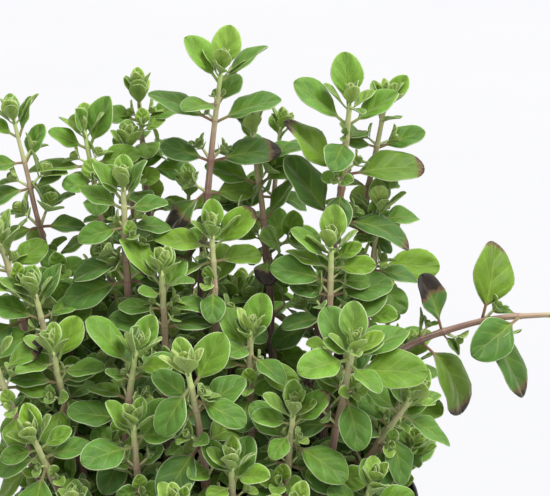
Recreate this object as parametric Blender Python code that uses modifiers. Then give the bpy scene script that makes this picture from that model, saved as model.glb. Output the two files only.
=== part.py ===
"""A potted marjoram: a plain nursery pot, its root ball and the square-stemmed shoots that stand in it.

Lengths are in millimetres and angles in degrees until they reach the mesh. The origin is the pot's axis on
the surface it stands on, +Z is up, the front is -Y and +X is to the right. A heading of 0 points to +X and
90 to the back.
"""

import math
from typing import NamedTuple

import bmesh
import bpy
import numpy as np
from mathutils.bvhtree import BVHTree

MM = 0.001

# Pot
RIM_RADIUS = 60.0
BODY_TOP_RADIUS = 57.5
FOOT_RADIUS = 43.0
POT_HEIGHT = 100.0
RIM_BAND = 8.0
WALL = 1.2
FOOT_RECESS = 3.0
DRAIN_HOLES = 8
DRAIN_RADIUS = 4.0
DRAIN_CIRCLE = 26.0
POT_STEPS = 40

# Root ball
SOIL_TOP = 89.0
SOIL_GAP = 0.4
SOCKET_DEPTH = 8.0
SOCKET_GAP = 0.4

# Shoots
ROOT_Z = SOIL_TOP - SOCKET_DEPTH
STEM_BASE = 2.9
STEM_TIP = 1.3
BUD_LENGTH = 4.5
BUD_WIDTH = 2.8
NODE_SWELL = 1.12
PETIOLE_SHARE = 0.16
PETIOLE_WIDTH = 1.3
LEAF_THICKNESS = 0.7
LEAF_FOLD = 16.0
CLEARANCE = 0.35
BLADE_STATIONS = (PETIOLE_SHARE, 0.42, 0.80)
SMALL_STATIONS = (PETIOLE_SHARE, 0.52)
SMALL_LEAF = 13.5
LIGHT = np.array([0.14, -0.72, 0.68])
TURN_TO_LIGHT = 0.6
LOWEST_PAIR = 17.0
LOWER_STEP = 18.0

# How a pair of leaves changes with its distance below the tip of a shoot
REACH = (2.2, 5.0, 10.0, 17.0, 26.0, 37.0, 49.0, 62.0)
LENGTH = (8.0, 11.5, 15.0, 17.0, 17.5, 17.0, 16.0, 15.0)
RISE = (64.0, 46.0, 28.0, 12.0, 0.0, -12.0, -20.0, -24.0)
DROOP = (-6.0, 6.0, 18.0, 26.0, 32.0, 36.0, 40.0, 42.0)

# Where a crowded leaf may go instead: turned, raised, and its size
YIELD = (
    (0, 0, 1.0), (10, 0, 1.0), (-10, 0, 1.0), (0, 10, 1.0), (0, -10, 1.0), (18, 8, 0.95), (-18, 8, 0.95),
    (18, -10, 0.95), (-18, -10, 0.95), (0, 20, 0.9), (0, -20, 0.9), (28, 0, 0.85), (-28, 0, 0.85),
    (15, 12, 0.75), (-15, 12, 0.75), (15, -15, 0.75), (-15, -15, 0.75), (0, 0, 0.6), (25, 10, 0.6), (-25, 10, 0.6),
)  # fmt: skip


class Pair(NamedTuple):
    """Two opposite leaves: the distance below the tip, the heading of the first, and each leaf's way to grow.

    A leaf gives its rise from the stem's cross-section, its length, its droop and, if it is unusual, how far
    its face has turned to the light.
    """

    reach: float
    heading: float
    first: tuple
    second: tuple
    shown: bool = True


class Shoot(NamedTuple):
    """One stem: where it stands, where it ends, how it bows, and the pairs it carries."""

    base: tuple
    tip: tuple
    bow: tuple = (0.0, 0.0, 0.0)
    turn: float = 0.0
    size: float = 1.0
    count: int = 4
    girth: float = 1.0
    pairs: tuple = ()


# The shoots that make the front of the plant, nearest the front first, then those that fill it out
SHOOTS = (
    # left of the front, low
    Shoot((6, -33), (5, -45, 127), turn=85, count=6, pairs=(
        Pair(1.8, 85, (66, 9, -8), (55, 7, -8)),
        Pair(4.4, 150, (48, 12, 0), (22, 12, 8)),
        Pair(7.6, 55, (52, 14, 0), (18, 10, 8)),
        Pair(13.0, 190, (-8, 16, 24), (-6, 14, 22)))),
    Shoot((18, -26), (22, -38, 140), turn=95, pairs=(
        Pair(1.8, 95, (70, 10, -8), (60, 7.5, -8)),
        Pair(4.4, 10, (46, 13, 2), (16, 11, 6)),
        Pair(7.4, 60, (52, 13, 4), (-16, 10, 10)),
        Pair(11.0, 150, (36, 15, 6), (-8, 18, 26)),
        Pair(18.0, 340, (-6, 16, 30), (0, 14, 26)),
        Pair(27.0, 250, (-10, 14, 26), (0, 13, 26)))),
    Shoot((-20, -28), (-22, -40, 137), turn=60, pairs=(
        Pair(1.8, 60, (56, 8.5, -6), (58, 7, -6)),
        Pair(4.4, 160, (54, 12, 0), (16, 12, 6)),
        Pair(7.6, 40, (42, 15, 4), (12, 17, 10)),
        Pair(15.0, 195, (36, 9, 0), (40, 9, 0)),
        Pair(23.0, 280, (-12, 15, 26), (0, 14, 26)))),
    Shoot((-3, -30), (-7, -43, 154), bow=(5, 0, 4), turn=90, pairs=(
        Pair(2.0, 100, (60, 10, -8), (50, 10, -8)),
        Pair(6.4, 34, (42, 16.5, 2), (-34, 15, 16)),
        Pair(10.5, 335, (-20, 15, 16), (38, 13, 4)),
        Pair(14.0, 5, (30, 16, 8), (-36, 10, 12)),
        Pair(25.0, 225, (-26, 18, 24), (4, 15, 26)),
        Pair(36.0, 310, (-16, 14, 26), (0, 13, 26)))),
    Shoot((26, -22), (38.4, -35, 157), turn=100, pairs=(
        Pair(1.0, 100, (60, 13.5, -4), (20, 7, 4)),
        Pair(2.3, 10, (32, 9, 0), (26, 9, 0)),
        Pair(3.7, 215, (0, 16.5, 14), (22, 19, 8)),
        Pair(5.2, 308, (-4, 12.5, 14), (42, 17, 2)),
        Pair(7.0, 357, (12, 21, 10), (0, 13, 20)),
        Pair(14.5, 300, (-40, 16, 14), (8, 14, 22)),
        Pair(25.0, 20, (-8, 15, 26), (0, 14, 26)))),
    Shoot((24, -16), (56, -25, 139.5), bow=(2, 0, 8), turn=90, pairs=(
        Pair(1.6, 90, (66, 10, -8), (58, 7, -8)),
        Pair(3.6, 20, (44, 10, 2), (30, 9, 4)),
        Pair(7.0, 0, (2, 17, 12), (14, 13, 14)),
        Pair(12.5, 320, (-34, 16, 14), (10, 13, 20)),
        Pair(18.0, 290, (-26, 15, 22), (8, 14, 22)),
        Pair(27.0, 345, (-20, 14, 26), (0, 14, 26)))),
    Shoot((-32, -26), (-50, -38, 132), turn=85, pairs=(
        Pair(1.8, 85, (66, 11, -6), (48, 7, -8)),
        Pair(4.2, 10, (12, 10, 4), (10, 10, 4)),
        Pair(7.2, 355, (4, 14, 20), (6, 14, 20)),
        Pair(10.5, 235, (-34, 19, 16), (20, 14, 12)),
        Pair(15.0, 300, (-30, 15, 18), (8, 13, 20)))),
    Shoot((-24, -20), (-21.5, -30, 155), bow=(-6, 0, 0), turn=60, pairs=(
        Pair(2.0, 60, (60, 12, -8), (64, 12, -8)),
        Pair(5.6, 165, (38, 18, 4), (22, 10, 6)),
        Pair(9.5, 205, (22, 8, 0), (30, 13, 6)),
        Pair(16.0, 330, (-26, 14, 16), (4, 13, 22)),
        Pair(22.0, 185, (2, 16, -6), (-8, 13, 22)),
        Pair(33.0, 250, (-16, 14, 26), (0, 14, 26)))),
    Shoot((-32, -16), (-46, -22, 152.5), turn=75, pairs=(
        Pair(1.8, 75, (58, 9, -6), (58, 10, -6)),
        Pair(4.4, 40, (56, 14, 2), (12, 12, 6)),
        Pair(7.2, 160, (44, 11, 0), (6, 14, 12)),
        Pair(10.5, 185, (24, 15, 10), (14, 11, 12)),
        Pair(17.0, 240, (-26, 15, 16), (10, 13, 22)),
        Pair(27.0, 320, (-12, 14, 26), (0, 13, 26)))),
    Shoot((10, -13), (10, -20, 157), turn=60, pairs=(
        Pair(1.8, 150, (50, 6, 0), (40, 6, 0)),
        Pair(4.4, 60, (64, 15, 2), (12, 11, 10)),
        Pair(7.4, 135, (46, 16, 4), (-14, 13, 20)),
        Pair(11.0, 172, (12, 17, 26), (-16, 14, 22)),
        Pair(20.0, 80, (10, 15, 26), (-4, 15, 26)),
        Pair(31.0, 0, (-10, 14, 30), (-8, 14, 30)))),
    Shoot((-13, -11), (-15, -15, 174), turn=45, pairs=(
        Pair(1.8, 45, (60, 7.5, -6), (60, 7.5, -6)),
        Pair(4.6, 150, (48, 17, 6), (12, 10, 4)),
        Pair(7.4, 48, (52, 12, 4), (20, 9, 4)),
        Pair(12.0, 5, (14, 12, 40), (10, 12, 10)),
        Pair(17.5, 176, (8, 15, -4), (10, 13, 16)),
        Pair(27.0, 240, (-18, 14, 26), (0, 15, 26)),
        Pair(40.0, 330, (-14, 14, 30), (-6, 14, 30)))),
    Shoot((2, -6), (-1, -8, 183), turn=90, pairs=(
        Pair(1.8, 90, (68, 11, -4), (44, 7.5, -4)),
        Pair(4.6, 10, (42, 15.5, 4), (14, 16, 14)),
        Pair(9.0, 200, (-8, 17, 18), (6, 14, 16)),
        Pair(17.0, 250, (-34, 13, 16), (50, 14, 4)),
        Pair(27.0, 350, (-12, 15, 26), (-4, 15, 26)),
        Pair(39.0, 265, (-16, 14, 26), (-4, 14, 26)))),
    Shoot((28, -8), (33, -12, 180), bow=(2, 0, 0), turn=80, pairs=(
        Pair(1.6, 80, (70, 13, -2), (26, 6.5, 0)),
        Pair(4.2, 5, (30, 9, 2), (40, 14, 2)),
        Pair(6.8, 350, (12, 12, 10), (22, 13, 10)),
        Pair(10.6, 190, (20, 17, 14), (0, 11, 16)),
        Pair(15.0, 5, (12, 18, 12), (18, 11, 10)),
        Pair(22.0, 190, (-4, 13, 16), (26, 17, 4)),
        Pair(33.0, 275, (-16, 14, 26), (0, 14, 26)))),
    Shoot((-24, -5), (-26, -8, 197), turn=90, pairs=(
        Pair(1.8, 90, (68, 10, -4), (56, 7, -6)),
        Pair(4.4, 0, (60, 13, 0), (54, 13, 0)),
        Pair(7.2, 350, (10, 12, 8), (28, 13, 8)),
        Pair(13.0, 200, (-4, 13, 22), (0, 13, 18)),
        Pair(18.5, 300, (-14, 15, 22), (6, 13, 20)),
        Pair(23.0, 188, (-12, 15, 16), (-4, 13, 22)),
        Pair(29.0, 192, (-12, 18, 16), (-8, 14, 26)),
        Pair(42.0, 270, (-16, 14, 26), (-6, 14, 26)))),
    Shoot((-33, -7), (-52, -10, 166), turn=90, pairs=(
        Pair(1.8, 90, (64, 8, -6), (48, 8, -6)),
        Pair(4.6, 20, (48, 13, 2), (46, 10, -4)),
        Pair(8.4, 350, (16, 13, 10), (34, 15, 4)),
        Pair(13.0, 10, (20, 14, 12), (0, 17, 16)),
        Pair(23.0, 290, (-14, 14, 26), (0, 13, 26)))),
    # the two tall ones
    Shoot((14, 2), (38.2, -2, 219.5), bow=(7.4, 0, 0), turn=100, girth=1.0, pairs=(
        Pair(1.8, 108, (62, 16, -8), (4, 9, 4)),
        Pair(6.4, 5, (38, 16, 2), (38, 19, 6)),
        Pair(11.4, 255, (-12, 15, 22), (6, 16, 16)),
        Pair(21.4, 8, (15, 23, 14), (41, 22.5, 6)),
        Pair(25.4, 250, (-40, 14, 14), (8, 13, 20)),
        Pair(35.4, 352, (14, 22, 60), (44, 23, -4)),
        Pair(50.0, 270, (-16, 15, 26), (0, 15, 26)))),
    Shoot((-5, 8), (1.6, 8, 227), bow=(-7, 0, 0), turn=90, girth=0.88, pairs=(
        Pair(1.4, 82, (66, 14.5, -8), (28, 9, 2)),
        Pair(3.4, 0, (48, 16.5, 8), (48, 15.5, 8)),
        Pair(10.2, 58, (44, 12, 6), (4, 15, 16)),
        Pair(15.2, 0, (34, 19.5, 22), (22, 20, 14)),
        Pair(27.0, 12, (22, 20, 22), (20, 14.5, 18)),
        Pair(37.0, 195, (-44, 17, 18, 0.3), (12, 13, 16)),
        Pair(53.0, 100, (-4, 15, 26), (-16, 15, 26)))),
    # the stem that runs out to the right
    Shoot((30, 4), (109, 2, 155), bow=(-43.5, 3, 40), turn=90, girth=0.82, pairs=(
        Pair(2.2, 90, (60, 9, -6), (58, 9, -6)),
        Pair(5.4, 180, (44, 13, 4), (30, 12, 8)),
        Pair(11.0, 90, (28, 15, 12), (22, 15, 12)),
        Pair(20.5, 286, (-42, 20.5, 16, 0.75), (-66, 8, 4)),
        Pair(30.8, 168, (26, 23.5, 38, 0.85), (24, 25, 16, 0.62)),
        Pair(43.2, 178, (5, 17.5, 12, 0.5), (20, 8, 10, 0.7)),
        Pair(50.0, 355, (24, 27, 50, 0.5), (30, 9, 6)),
        Pair(64.0, 200, (-10, 14, 16), (10, 14, 20)))),
    # behind and between
    Shoot((28, 12), (49, 8, 218), bow=(-2, 0, 0), turn=30, girth=0.85, pairs=(
        Pair(2.2, 30, (62, 11, -4), (52, 9.5, -4)),
        Pair(6.0, 115, (40, 10, 4), (24, 9.5, 8)),
        Pair(14.0, 0, (32, 14, 10), (20, 11, 10)),
        Pair(26.0, 20, (10, 9, 12), (20, 10, 10)),
        Pair(40.0, 110, (0, 14, 26), (-6, 13, 26)))),
    Shoot((37, -3), (47, 2, 188), turn=90, girth=0.8, pairs=(
        Pair(1.8, 90, (54, 11, 2), (40, 7, 2)),
        Pair(4.6, 0, (22, 13, 46), (26, 10, 8)),
        Pair(9.0, 60, (24, 12, 10), (4, 10, 20)),
        Pair(19.0, 350, (0, 13, 26), (0, 12, 26)))),
    Shoot((35, 18), (48, 20, 172), turn=60, girth=0.85, pairs=(
        Pair(2.0, 60, (60, 9, -4), (50, 9, -4)),
        Pair(7.0, 355, (14, 19, 16), (14, 13, 14)),
        Pair(11.5, 320, (-20, 14, 22), (4, 13, 22)),
        Pair(22.0, 20, (24, 9, 6), (22, 9, 6)))),
    Shoot((15, 12), (10, 14, 209), bow=(7, 0, 0), turn=10, girth=0.9, pairs=(
        Pair(1.8, 10, (58, 8, -4), (56, 8, -4)),
        Pair(5.0, 100, (48, 9, 0), (38, 8.5, 2)),
        Pair(9.0, 0, (8, 14, 14), (20, 12, 14)),
        Pair(17.0, 188, (30, 16, 12), (28, 13, 12)),
        Pair(28.0, 5, (50, 14, 4), (36, 13, 10)),
        Pair(40.0, 90, (0, 14, 26), (-10, 13, 26)))),
    Shoot((13, 23), (19, 26, 208), bow=(-5, 0, 0), turn=20, size=0.72, girth=0.75, count=5),
    Shoot((-30, 10), (-59, 10, 213), bow=(-2, 0, 3), turn=0, girth=0.75, pairs=(
        Pair(2.0, 95, (60, 9, -4), (48, 8, -4)),
        Pair(6.0, 10, (60, 12, 0), (44, 11, 2)),
        Pair(14.0, 20, (52, 12, 2), (10, 11, 10)),
        Pair(22.0, 185, (-2, 13, 14), (14, 9, 10)),
        Pair(34.0, 10, (-10, 13, 20), (0, 13, 20)))),
    Shoot((-38, -3), (-62, -4, 180), bow=(-2, 0, 3), turn=40, size=0.95, count=5),
    Shoot((-22, 14), (-39, 15, 208), bow=(2, 0, 0), turn=80, girth=0.9, pairs=(
        Pair(2.0, 80, (64, 10, -4), (60, 11, -6)),
        Pair(5.4, 20, (58, 16, 0), (38, 12, 8)),
        Pair(11.0, 185, (8, 18, 10), (10, 14, 18)),
        Pair(20.0, 95, (8, 14, 22), (-4, 13, 22)),
        Pair(32.0, 185, (-8, 14, 26), (0, 13, 26)))),
    Shoot((-15, 26), (-24, 30, 217), turn=0, size=0.85, girth=0.8, count=5),
    Shoot((-20, 22), (-27, 22, 203), turn=35, size=0.75, girth=0.75, count=4),
    Shoot((-8, 20), (-9, 23, 190), turn=10, size=0.7, girth=0.7, count=4),
    Shoot((-41, -17), (-62, -26, 152), bow=(-2, 0, 3), turn=0, count=4, pairs=(
        Pair(2.0, 90, (60, 9, -4), (50, 9, -4)),
        Pair(6.0, 10, (20, 14, 10), (40, 13, 4)),
        Pair(11.0, 0, (-4, 17, 10), (6, 15, 16)),
        Pair(19.0, 280, (-12, 14, 24), (0, 13, 24)))),
    # low ones around the front of the rim
    Shoot((-8, -43), (-10, -51, 117), turn=30, size=0.9, count=4),
    Shoot((-33, -37), (-38, -47, 116), turn=0, size=0.9, count=4),
    Shoot((20, -41), (22, -52, 116), turn=60, size=0.9, count=4),
    Shoot((36, -30), (44, -42, 121), turn=20, size=0.85, count=4),
    Shoot((39, -12), (55, -8, 132), turn=70, size=0.9, count=4),
    # the sides and the back
    Shoot((44, 8), (58, 14, 140), turn=30, size=0.9, count=4),
    Shoot((42, 26), (53, 36, 146), turn=0, size=0.95, count=4),
    Shoot((24, 38), (32, 46, 150), turn=50, size=0.95, count=4),
    Shoot((4, 34), (6, 40, 152), turn=10, size=0.95, count=5),
    Shoot((8, 47), (10, 56, 132), turn=80, size=0.9, count=4),
    Shoot((-14, 42), (-16, 50, 148), turn=40, size=0.95, count=4),
    Shoot((-32, 32), (-38, 40, 158), turn=20, size=0.95, count=5),
    Shoot((-42, 10), (-56, 18, 150), turn=70, size=0.9, count=4),
    Shoot((-30, 41), (-42, 49, 124), turn=0, size=0.9, count=3),
    Shoot((2, 20), (4, 20, 156), turn=60, size=0.9, count=4),
    Shoot((33, 38), (42, 50, 122), turn=25, size=0.85, count=3),
    Shoot((-48, 0), (-58, -4, 122), turn=0, size=0.85, count=3),
    Shoot((47, -4), (57, -12, 120), turn=45, size=0.85, count=3),
    Shoot((46, 13), (56, 20, 120), turn=10, size=0.85, count=3),
    Shoot((-20, 46), (-21, 54, 120), turn=60, size=0.85, count=3),
    Shoot((22, 45), (24, 54, 119), turn=20, size=0.85, count=3),
    Shoot((-43, 21), (-54, 27, 122), turn=30, size=0.85, count=3),
)  # fmt: skip


class Leaf(NamedTuple):
    """Where one leaf starts and how it runs. Directions are unit vectors and angles are in radians."""

    root: np.ndarray
    onward: np.ndarray
    upper: np.ndarray
    length: float
    width: float
    droop: float
    shown: bool


def unit(vector):
    return vector / np.linalg.norm(vector)


def wobble(*keys):
    """A number between -1 and 1 that is always the same for the same keys."""
    value = math.sin(sum(key * step for key, step in zip(keys, (12.9898, 78.233, 37.719)))) * 43758.5453
    return 2 * (value - math.floor(value)) - 1


class Course:
    """The line that a stem follows, read by the distance below its tip."""

    def __init__(self, shoot):
        self.base = np.array([*shoot.base, ROOT_Z], float)
        self.tip = np.array(shoot.tip, float)
        self.pull = (self.base + self.tip) / 2 + np.array(shoot.bow, float)
        share = np.linspace(0, 1, 65)[:, None]
        line = (1 - share) ** 2 * self.base + 2 * share * (1 - share) * self.pull + share**2 * self.tip
        steps = np.linalg.norm(np.diff(line[::-1], axis=0), axis=1)
        self.below = np.concatenate([[0], np.cumsum(steps)])
        self.share = share[::-1, 0]
        self.length = self.below[-1]

    def point(self, below):
        share = np.interp(below, self.below, self.share)
        ends = (1 - share) ** 2 * self.base + share**2 * self.tip
        return ends + 2 * share * (1 - share) * self.pull

    def tangent(self, below):
        share = np.interp(below, self.below, self.share)
        return unit((1 - share) * (self.pull - self.base) + share * (self.tip - self.pull))

    def outward(self, below, heading):
        """The direction square to the stem that has this heading when the stem is upright."""
        along = self.tangent(below)
        level = np.array([math.cos(heading), math.sin(heading), 0.0])
        return level - (along @ level) / (1 + along[2]) * (along + np.array([0, 0, 1.0]))

    def half_width(self, below, girth):
        share = np.clip(below / 70.0, 0, 1) ** 0.7
        return girth * (STEM_TIP + (STEM_BASE - STEM_TIP) * share) / 2


def pairs_of(shoot, number, course):
    """The shoot's own pairs, or those that the growth rule gives it, and then its lower leaves."""
    pairs = list(shoot.pairs)
    if not pairs:
        spread = 0.6 + 0.4 * shoot.size
        pairs = [
            grown_pair(shoot, number, order, REACH[order] * spread, shoot.turn + 90 * order)
            for order in range(shoot.count)
        ]
    while pairs[-1].reach + LOWER_STEP < course.length - LOWEST_PAIR:
        last = pairs[-1]
        pairs.append(grown_pair(shoot, number, 7, last.reach + LOWER_STEP, last.heading + 90))
    return tuple(pairs)


def grown_pair(shoot, number, order, reach, heading):
    """A pair that follows the growth rule for its order below the tip, with a little variety."""
    leaves = [
        (
            RISE[order] + 8 * wobble(number, reach, side),
            LENGTH[order] * shoot.size * (1 + 0.08 * wobble(number, reach, side + 5)),
            DROOP[order] + 6 * wobble(number, reach, side + 9),
        )
        for side in (1, 2)
    ]
    return Pair(reach, heading + 14 * wobble(number, reach, 20), *leaves, shown=order < 4)


def node_half_height(pair):
    return 0.55 + 0.025 * min(pair.reach, 22.0)


def leaf_half_width(share, width):
    """Half the width of a leaf at this share of its length: a thin petiole, then a blunt oval blade."""
    if share <= PETIOLE_SHARE:
        return PETIOLE_WIDTH / 2
    blade = (share - PETIOLE_SHARE) / (1 - PETIOLE_SHARE)
    widest = 0.52
    if blade < widest:
        swell = math.sin(math.pi / 2 * blade / widest) ** 0.85
    else:
        swell = math.sqrt(max(0.0, 1 - ((blade - widest) / (1 - widest)) ** 2))
    return max(PETIOLE_WIDTH / 2, width / 2 * swell)


def leaf_frame(leaf, share):
    """The middle of the leaf at this share of its length, with its onward and upper directions there."""
    bend = leaf.droop * share
    if abs(leaf.droop) < 1e-6:
        run, fall = leaf.length * share, 0.0
    else:
        run = leaf.length * math.sin(bend) / leaf.droop
        fall = leaf.length * (1 - math.cos(bend)) / leaf.droop
    centre = leaf.root + run * leaf.onward - fall * leaf.upper
    onward = math.cos(bend) * leaf.onward - math.sin(bend) * leaf.upper
    upper = math.cos(bend) * leaf.upper + math.sin(bend) * leaf.onward
    return centre, onward, upper


def leaf_rings(leaf, grow=0.0):
    """The leaf's four-cornered sections (below, right, above, left) and its point. grow makes it stouter."""
    rings = []
    stations = BLADE_STATIONS if leaf.length > SMALL_LEAF and leaf.shown else SMALL_STATIONS
    for share in stations:
        centre, onward, upper = leaf_frame(leaf, share)
        side = np.cross(upper, onward)
        half = leaf_half_width(share, leaf.width)
        lift = math.tan(math.radians(LEAF_FOLD)) * (half - PETIOLE_WIDTH / 2) * 0.9
        thick = LEAF_THICKNESS / 2 * (1.15 if share == PETIOLE_SHARE else 1.0) + grow
        rings.append(
            [
                centre - thick * upper,
                centre + (half + grow) * side + lift * upper,
                centre + thick * upper,
                centre - (half + grow) * side + lift * upper,
            ]
        )
    point, onward, _ = leaf_frame(leaf, 1.0)
    return rings, point + grow * onward


def leaf_of(course, pair, second, change, girth):
    """One leaf of a pair, with this change to its heading, rise and size."""
    turned, raised, size = change
    rise, length, droop, *faced = pair.second if second else pair.first
    heading = math.radians(pair.heading + (180 if second else 0) + turned)
    outward = course.outward(pair.reach, heading)
    along = course.tangent(pair.reach)
    climb = math.radians(rise + raised)
    onward = math.cos(climb) * outward + math.sin(climb) * along
    upper = math.cos(climb) * along - math.sin(climb) * outward
    half = course.half_width(pair.reach, girth) * NODE_SWELL
    root = course.point(pair.reach) + half * outward
    share = faced[0] if faced else TURN_TO_LIGHT * (1 + 0.4 * wobble(pair.reach, pair.heading, second + 1))
    lit = LIGHT - (LIGHT @ onward) * onward
    upper = unit((1 - share) * upper + share * lit)
    slender = 0.52 if length < 10 else 0.57
    bend = math.radians(droop)
    return Leaf(root, unit(onward), upper, length * size, length * size * slender, bend, pair.shown)


def blade_mesh(leaf, grow, petiole):
    """The leaf as triangles on its own, for testing what it touches. petiole keeps the part by the stem."""
    rings, point = leaf_rings(leaf, grow)
    if petiole:
        rings.insert(0, [corner - PETIOLE_SHARE * leaf.length * leaf.onward for corner in rings[0]])
    else:
        rings = rings[1:]
    corners = [corner for ring in rings for corner in ring] + [point]
    faces = []
    for level in range(len(rings) - 1):
        for corner in range(4):
            here = 4 * level + corner
            beside = 4 * level + (corner + 1) % 4
            faces += [(here, beside, beside + 4), (here, beside + 4, here + 4)]
    last = 4 * (len(rings) - 1)
    faces += [(last + corner, last + (corner + 1) % 4, len(corners) - 1) for corner in range(4)]
    faces += [(0, 2, 1), (0, 3, 2)]
    return np.array(corners), faces


class Crowd:
    """What has been placed so far, so that the next leaf can be kept clear of it."""

    def __init__(self):
        self.trees = []
        self.centres = np.empty((0, 3))
        self.radii = np.empty(0)
        self.owners = []

    def add(self, corners, faces, owner):
        centre = (corners.min(axis=0) + corners.max(axis=0)) / 2
        self.trees.append(BVHTree.FromPolygons(corners.tolist(), faces))
        self.centres = np.vstack([self.centres, centre])
        self.radii = np.append(self.radii, np.linalg.norm(corners - centre, axis=1).max())
        self.owners.append(owner)

    def touches(self, corners, faces, left_out=None):
        centre = (corners.min(axis=0) + corners.max(axis=0)) / 2
        radius = np.linalg.norm(corners - centre, axis=1).max()
        near = np.flatnonzero(np.linalg.norm(self.centres - centre, axis=1) < self.radii + radius)
        tree = BVHTree.FromPolygons(corners.tolist(), faces)
        return any(self.owners[index] != left_out and tree.overlap(self.trees[index]) for index in near)


def clear_of_pot(corners):
    """Above the rim, or inside it and above the root ball."""
    inside = np.hypot(corners[:, 0], corners[:, 1]) < BODY_TOP_RADIUS - 5
    low = corners[:, 2] < POT_HEIGHT + 2
    return not (low & ~inside).any() and not (corners[:, 2] < SOIL_TOP + 3.5).any()


def stem_rings(shoot, course, pairs):
    """The stem's square sections from root to tip, each with the pair that it belongs to or None."""
    last = pairs[-1].reach
    soil = course.length - SOCKET_DEPTH - 4
    levels = [(course.length, pairs[-1].heading, None), (soil, pairs[-1].heading, None)]
    if soil - last > 24:
        levels.append(((soil + last) / 2, pairs[-1].heading, None))
    for pair in reversed(pairs):
        half = node_half_height(pair)
        levels += [(pair.reach + half, pair.heading, pair), (pair.reach - half, pair.heading, pair)]
    rings = []
    for below, heading, pair in levels:
        half = course.half_width(below, shoot.girth) * (NODE_SWELL if pair else 1.0)
        rings.append((square_section(course, below, heading, half), heading, pair))
    return rings


def square_section(course, below, heading, half):
    """Four corners, each between the side of the same number and the next one round."""
    centre = course.point(below)
    first = course.outward(below, math.radians(heading))
    beside = np.cross(course.tangent(below), first)
    return [centre + half * (a * first + b * beside) for a, b in ((1, 1), (-1, 1), (-1, -1), (1, -1))]


def bud_levels(course, shoot, heading):
    """The closed tuft of youngest leaves above the last node: a square section and a point."""
    along = course.tangent(0)
    centre = course.tip + 1.4 * along
    first = course.outward(0, math.radians(heading))
    beside = np.cross(along, first)
    half = BUD_WIDTH / 2 * min(1.0, shoot.size + 0.1)
    ring = [centre + half * (a * first + b * beside) for a, b in ((1, 1), (-1, 1), (-1, -1), (1, -1))]
    return ring, course.tip + BUD_LENGTH * along


def stem_tube(shoot, course, pairs):
    """The stem and its bud as triangles on their own, for testing what touches them."""
    rings = [ring for ring, _, _ in stem_rings(shoot, course, pairs)]
    ring, point = bud_levels(course, shoot, pairs[0].heading)
    rings.append(ring)
    corners = [corner for section in rings for corner in section] + [point]
    faces = []
    for level in range(len(rings) - 1):
        for low in range(4):
            for high in range(4):
                faces.append((4 * level + low, 4 * level + (low + 1) % 4, 4 * level + 4 + high))
    last = 4 * (len(rings) - 1)
    faces += [(last + corner, last + (corner + 1) % 4, len(corners) - 1) for corner in range(4)]
    return np.array(corners), faces


def settle(shoots):
    """For every shoot its course, its pairs and the leaves that found room."""
    crowd = Crowd()
    grown = []
    for number, shoot in enumerate(shoots):
        course = Course(shoot)
        pairs = pairs_of(shoot, number, course)
        crowd.add(*stem_tube(shoot, course, pairs), owner=("stem", number))
        grown.append((shoot, course, pairs, {}))
    for number, (shoot, course, pairs, leaves) in enumerate(grown):
        for order, pair in enumerate(pairs):
            for second in (False, True):
                for change in YIELD:
                    leaf = leaf_of(course, pair, second, change, shoot.girth)
                    whole = blade_mesh(leaf, CLEARANCE, True)
                    blade = blade_mesh(leaf, CLEARANCE, False)
                    if not clear_of_pot(whole[0]):
                        continue
                    if crowd.touches(*whole, left_out=("stem", number)) or crowd.touches(*blade):
                        continue
                    crowd.add(*blade_mesh(leaf, 0.0, True), owner=("leaf", number))
                    leaves[order, second] = leaf
                    break
    return grown


def clear_scene():
    for obj in list(bpy.data.objects):
        bpy.data.objects.remove(obj, do_unlink=True)


def collection_named(name, hidden=False):
    group = bpy.data.collections.new(name)
    bpy.context.scene.collection.children.link(group)
    group.hide_render = hidden
    return group


def material_named(name, colour, roughness):
    material = bpy.data.materials.new(name)
    material.use_nodes = True
    shader = material.node_tree.nodes["Principled BSDF"]
    shader.inputs["Base Color"].default_value = (*colour, 1.0)
    shader.inputs["Roughness"].default_value = roughness
    material.diffuse_color = (*colour, 1.0)
    return material


def object_from(bm, name, group, material=None, smooth=False):
    """A mesh object made from a bmesh that is in millimetres."""
    bmesh.ops.scale(bm, vec=(MM, MM, MM), verts=bm.verts)
    mesh = bpy.data.meshes.new(name)
    bm.to_mesh(mesh)
    bm.free()
    if smooth:
        mesh.polygons.foreach_set("use_smooth", [True] * len(mesh.polygons))
    if material:
        mesh.materials.append(material)
    obj = bpy.data.objects.new(name, mesh)
    group.objects.link(obj)
    return obj


def profile_bmesh(points):
    """A line of points (radius, height) in the XZ plane, ready for a Screw modifier."""
    bm = bmesh.new()
    corners = [bm.verts.new((radius, 0.0, height)) for radius, height in points]
    for start, end in zip(corners, corners[1:]):
        bm.edges.new((start, end))
    return bm


def add_screw(obj, steps):
    screw = obj.modifiers.new("turned", "SCREW")
    screw.steps = steps
    screw.render_steps = steps
    screw.use_merge_vertices = True
    screw.merge_threshold = 1e-5
    screw.use_smooth_shade = True
    return screw


def inner_radius(height):
    """The inside of the pot wall at this height."""
    foot = FOOT_RADIUS - WALL
    return foot + (BODY_TOP_RADIUS - FOOT_RADIUS) * height / (POT_HEIGHT - RIM_BAND)


def add_cut(obj, cutter, name):
    cut = obj.modifiers.new(name, "BOOLEAN")
    cut.operation = "DIFFERENCE"
    cut.solver = "EXACT"
    cut.object = cutter
    cutter.display_type = "WIRE"


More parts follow.
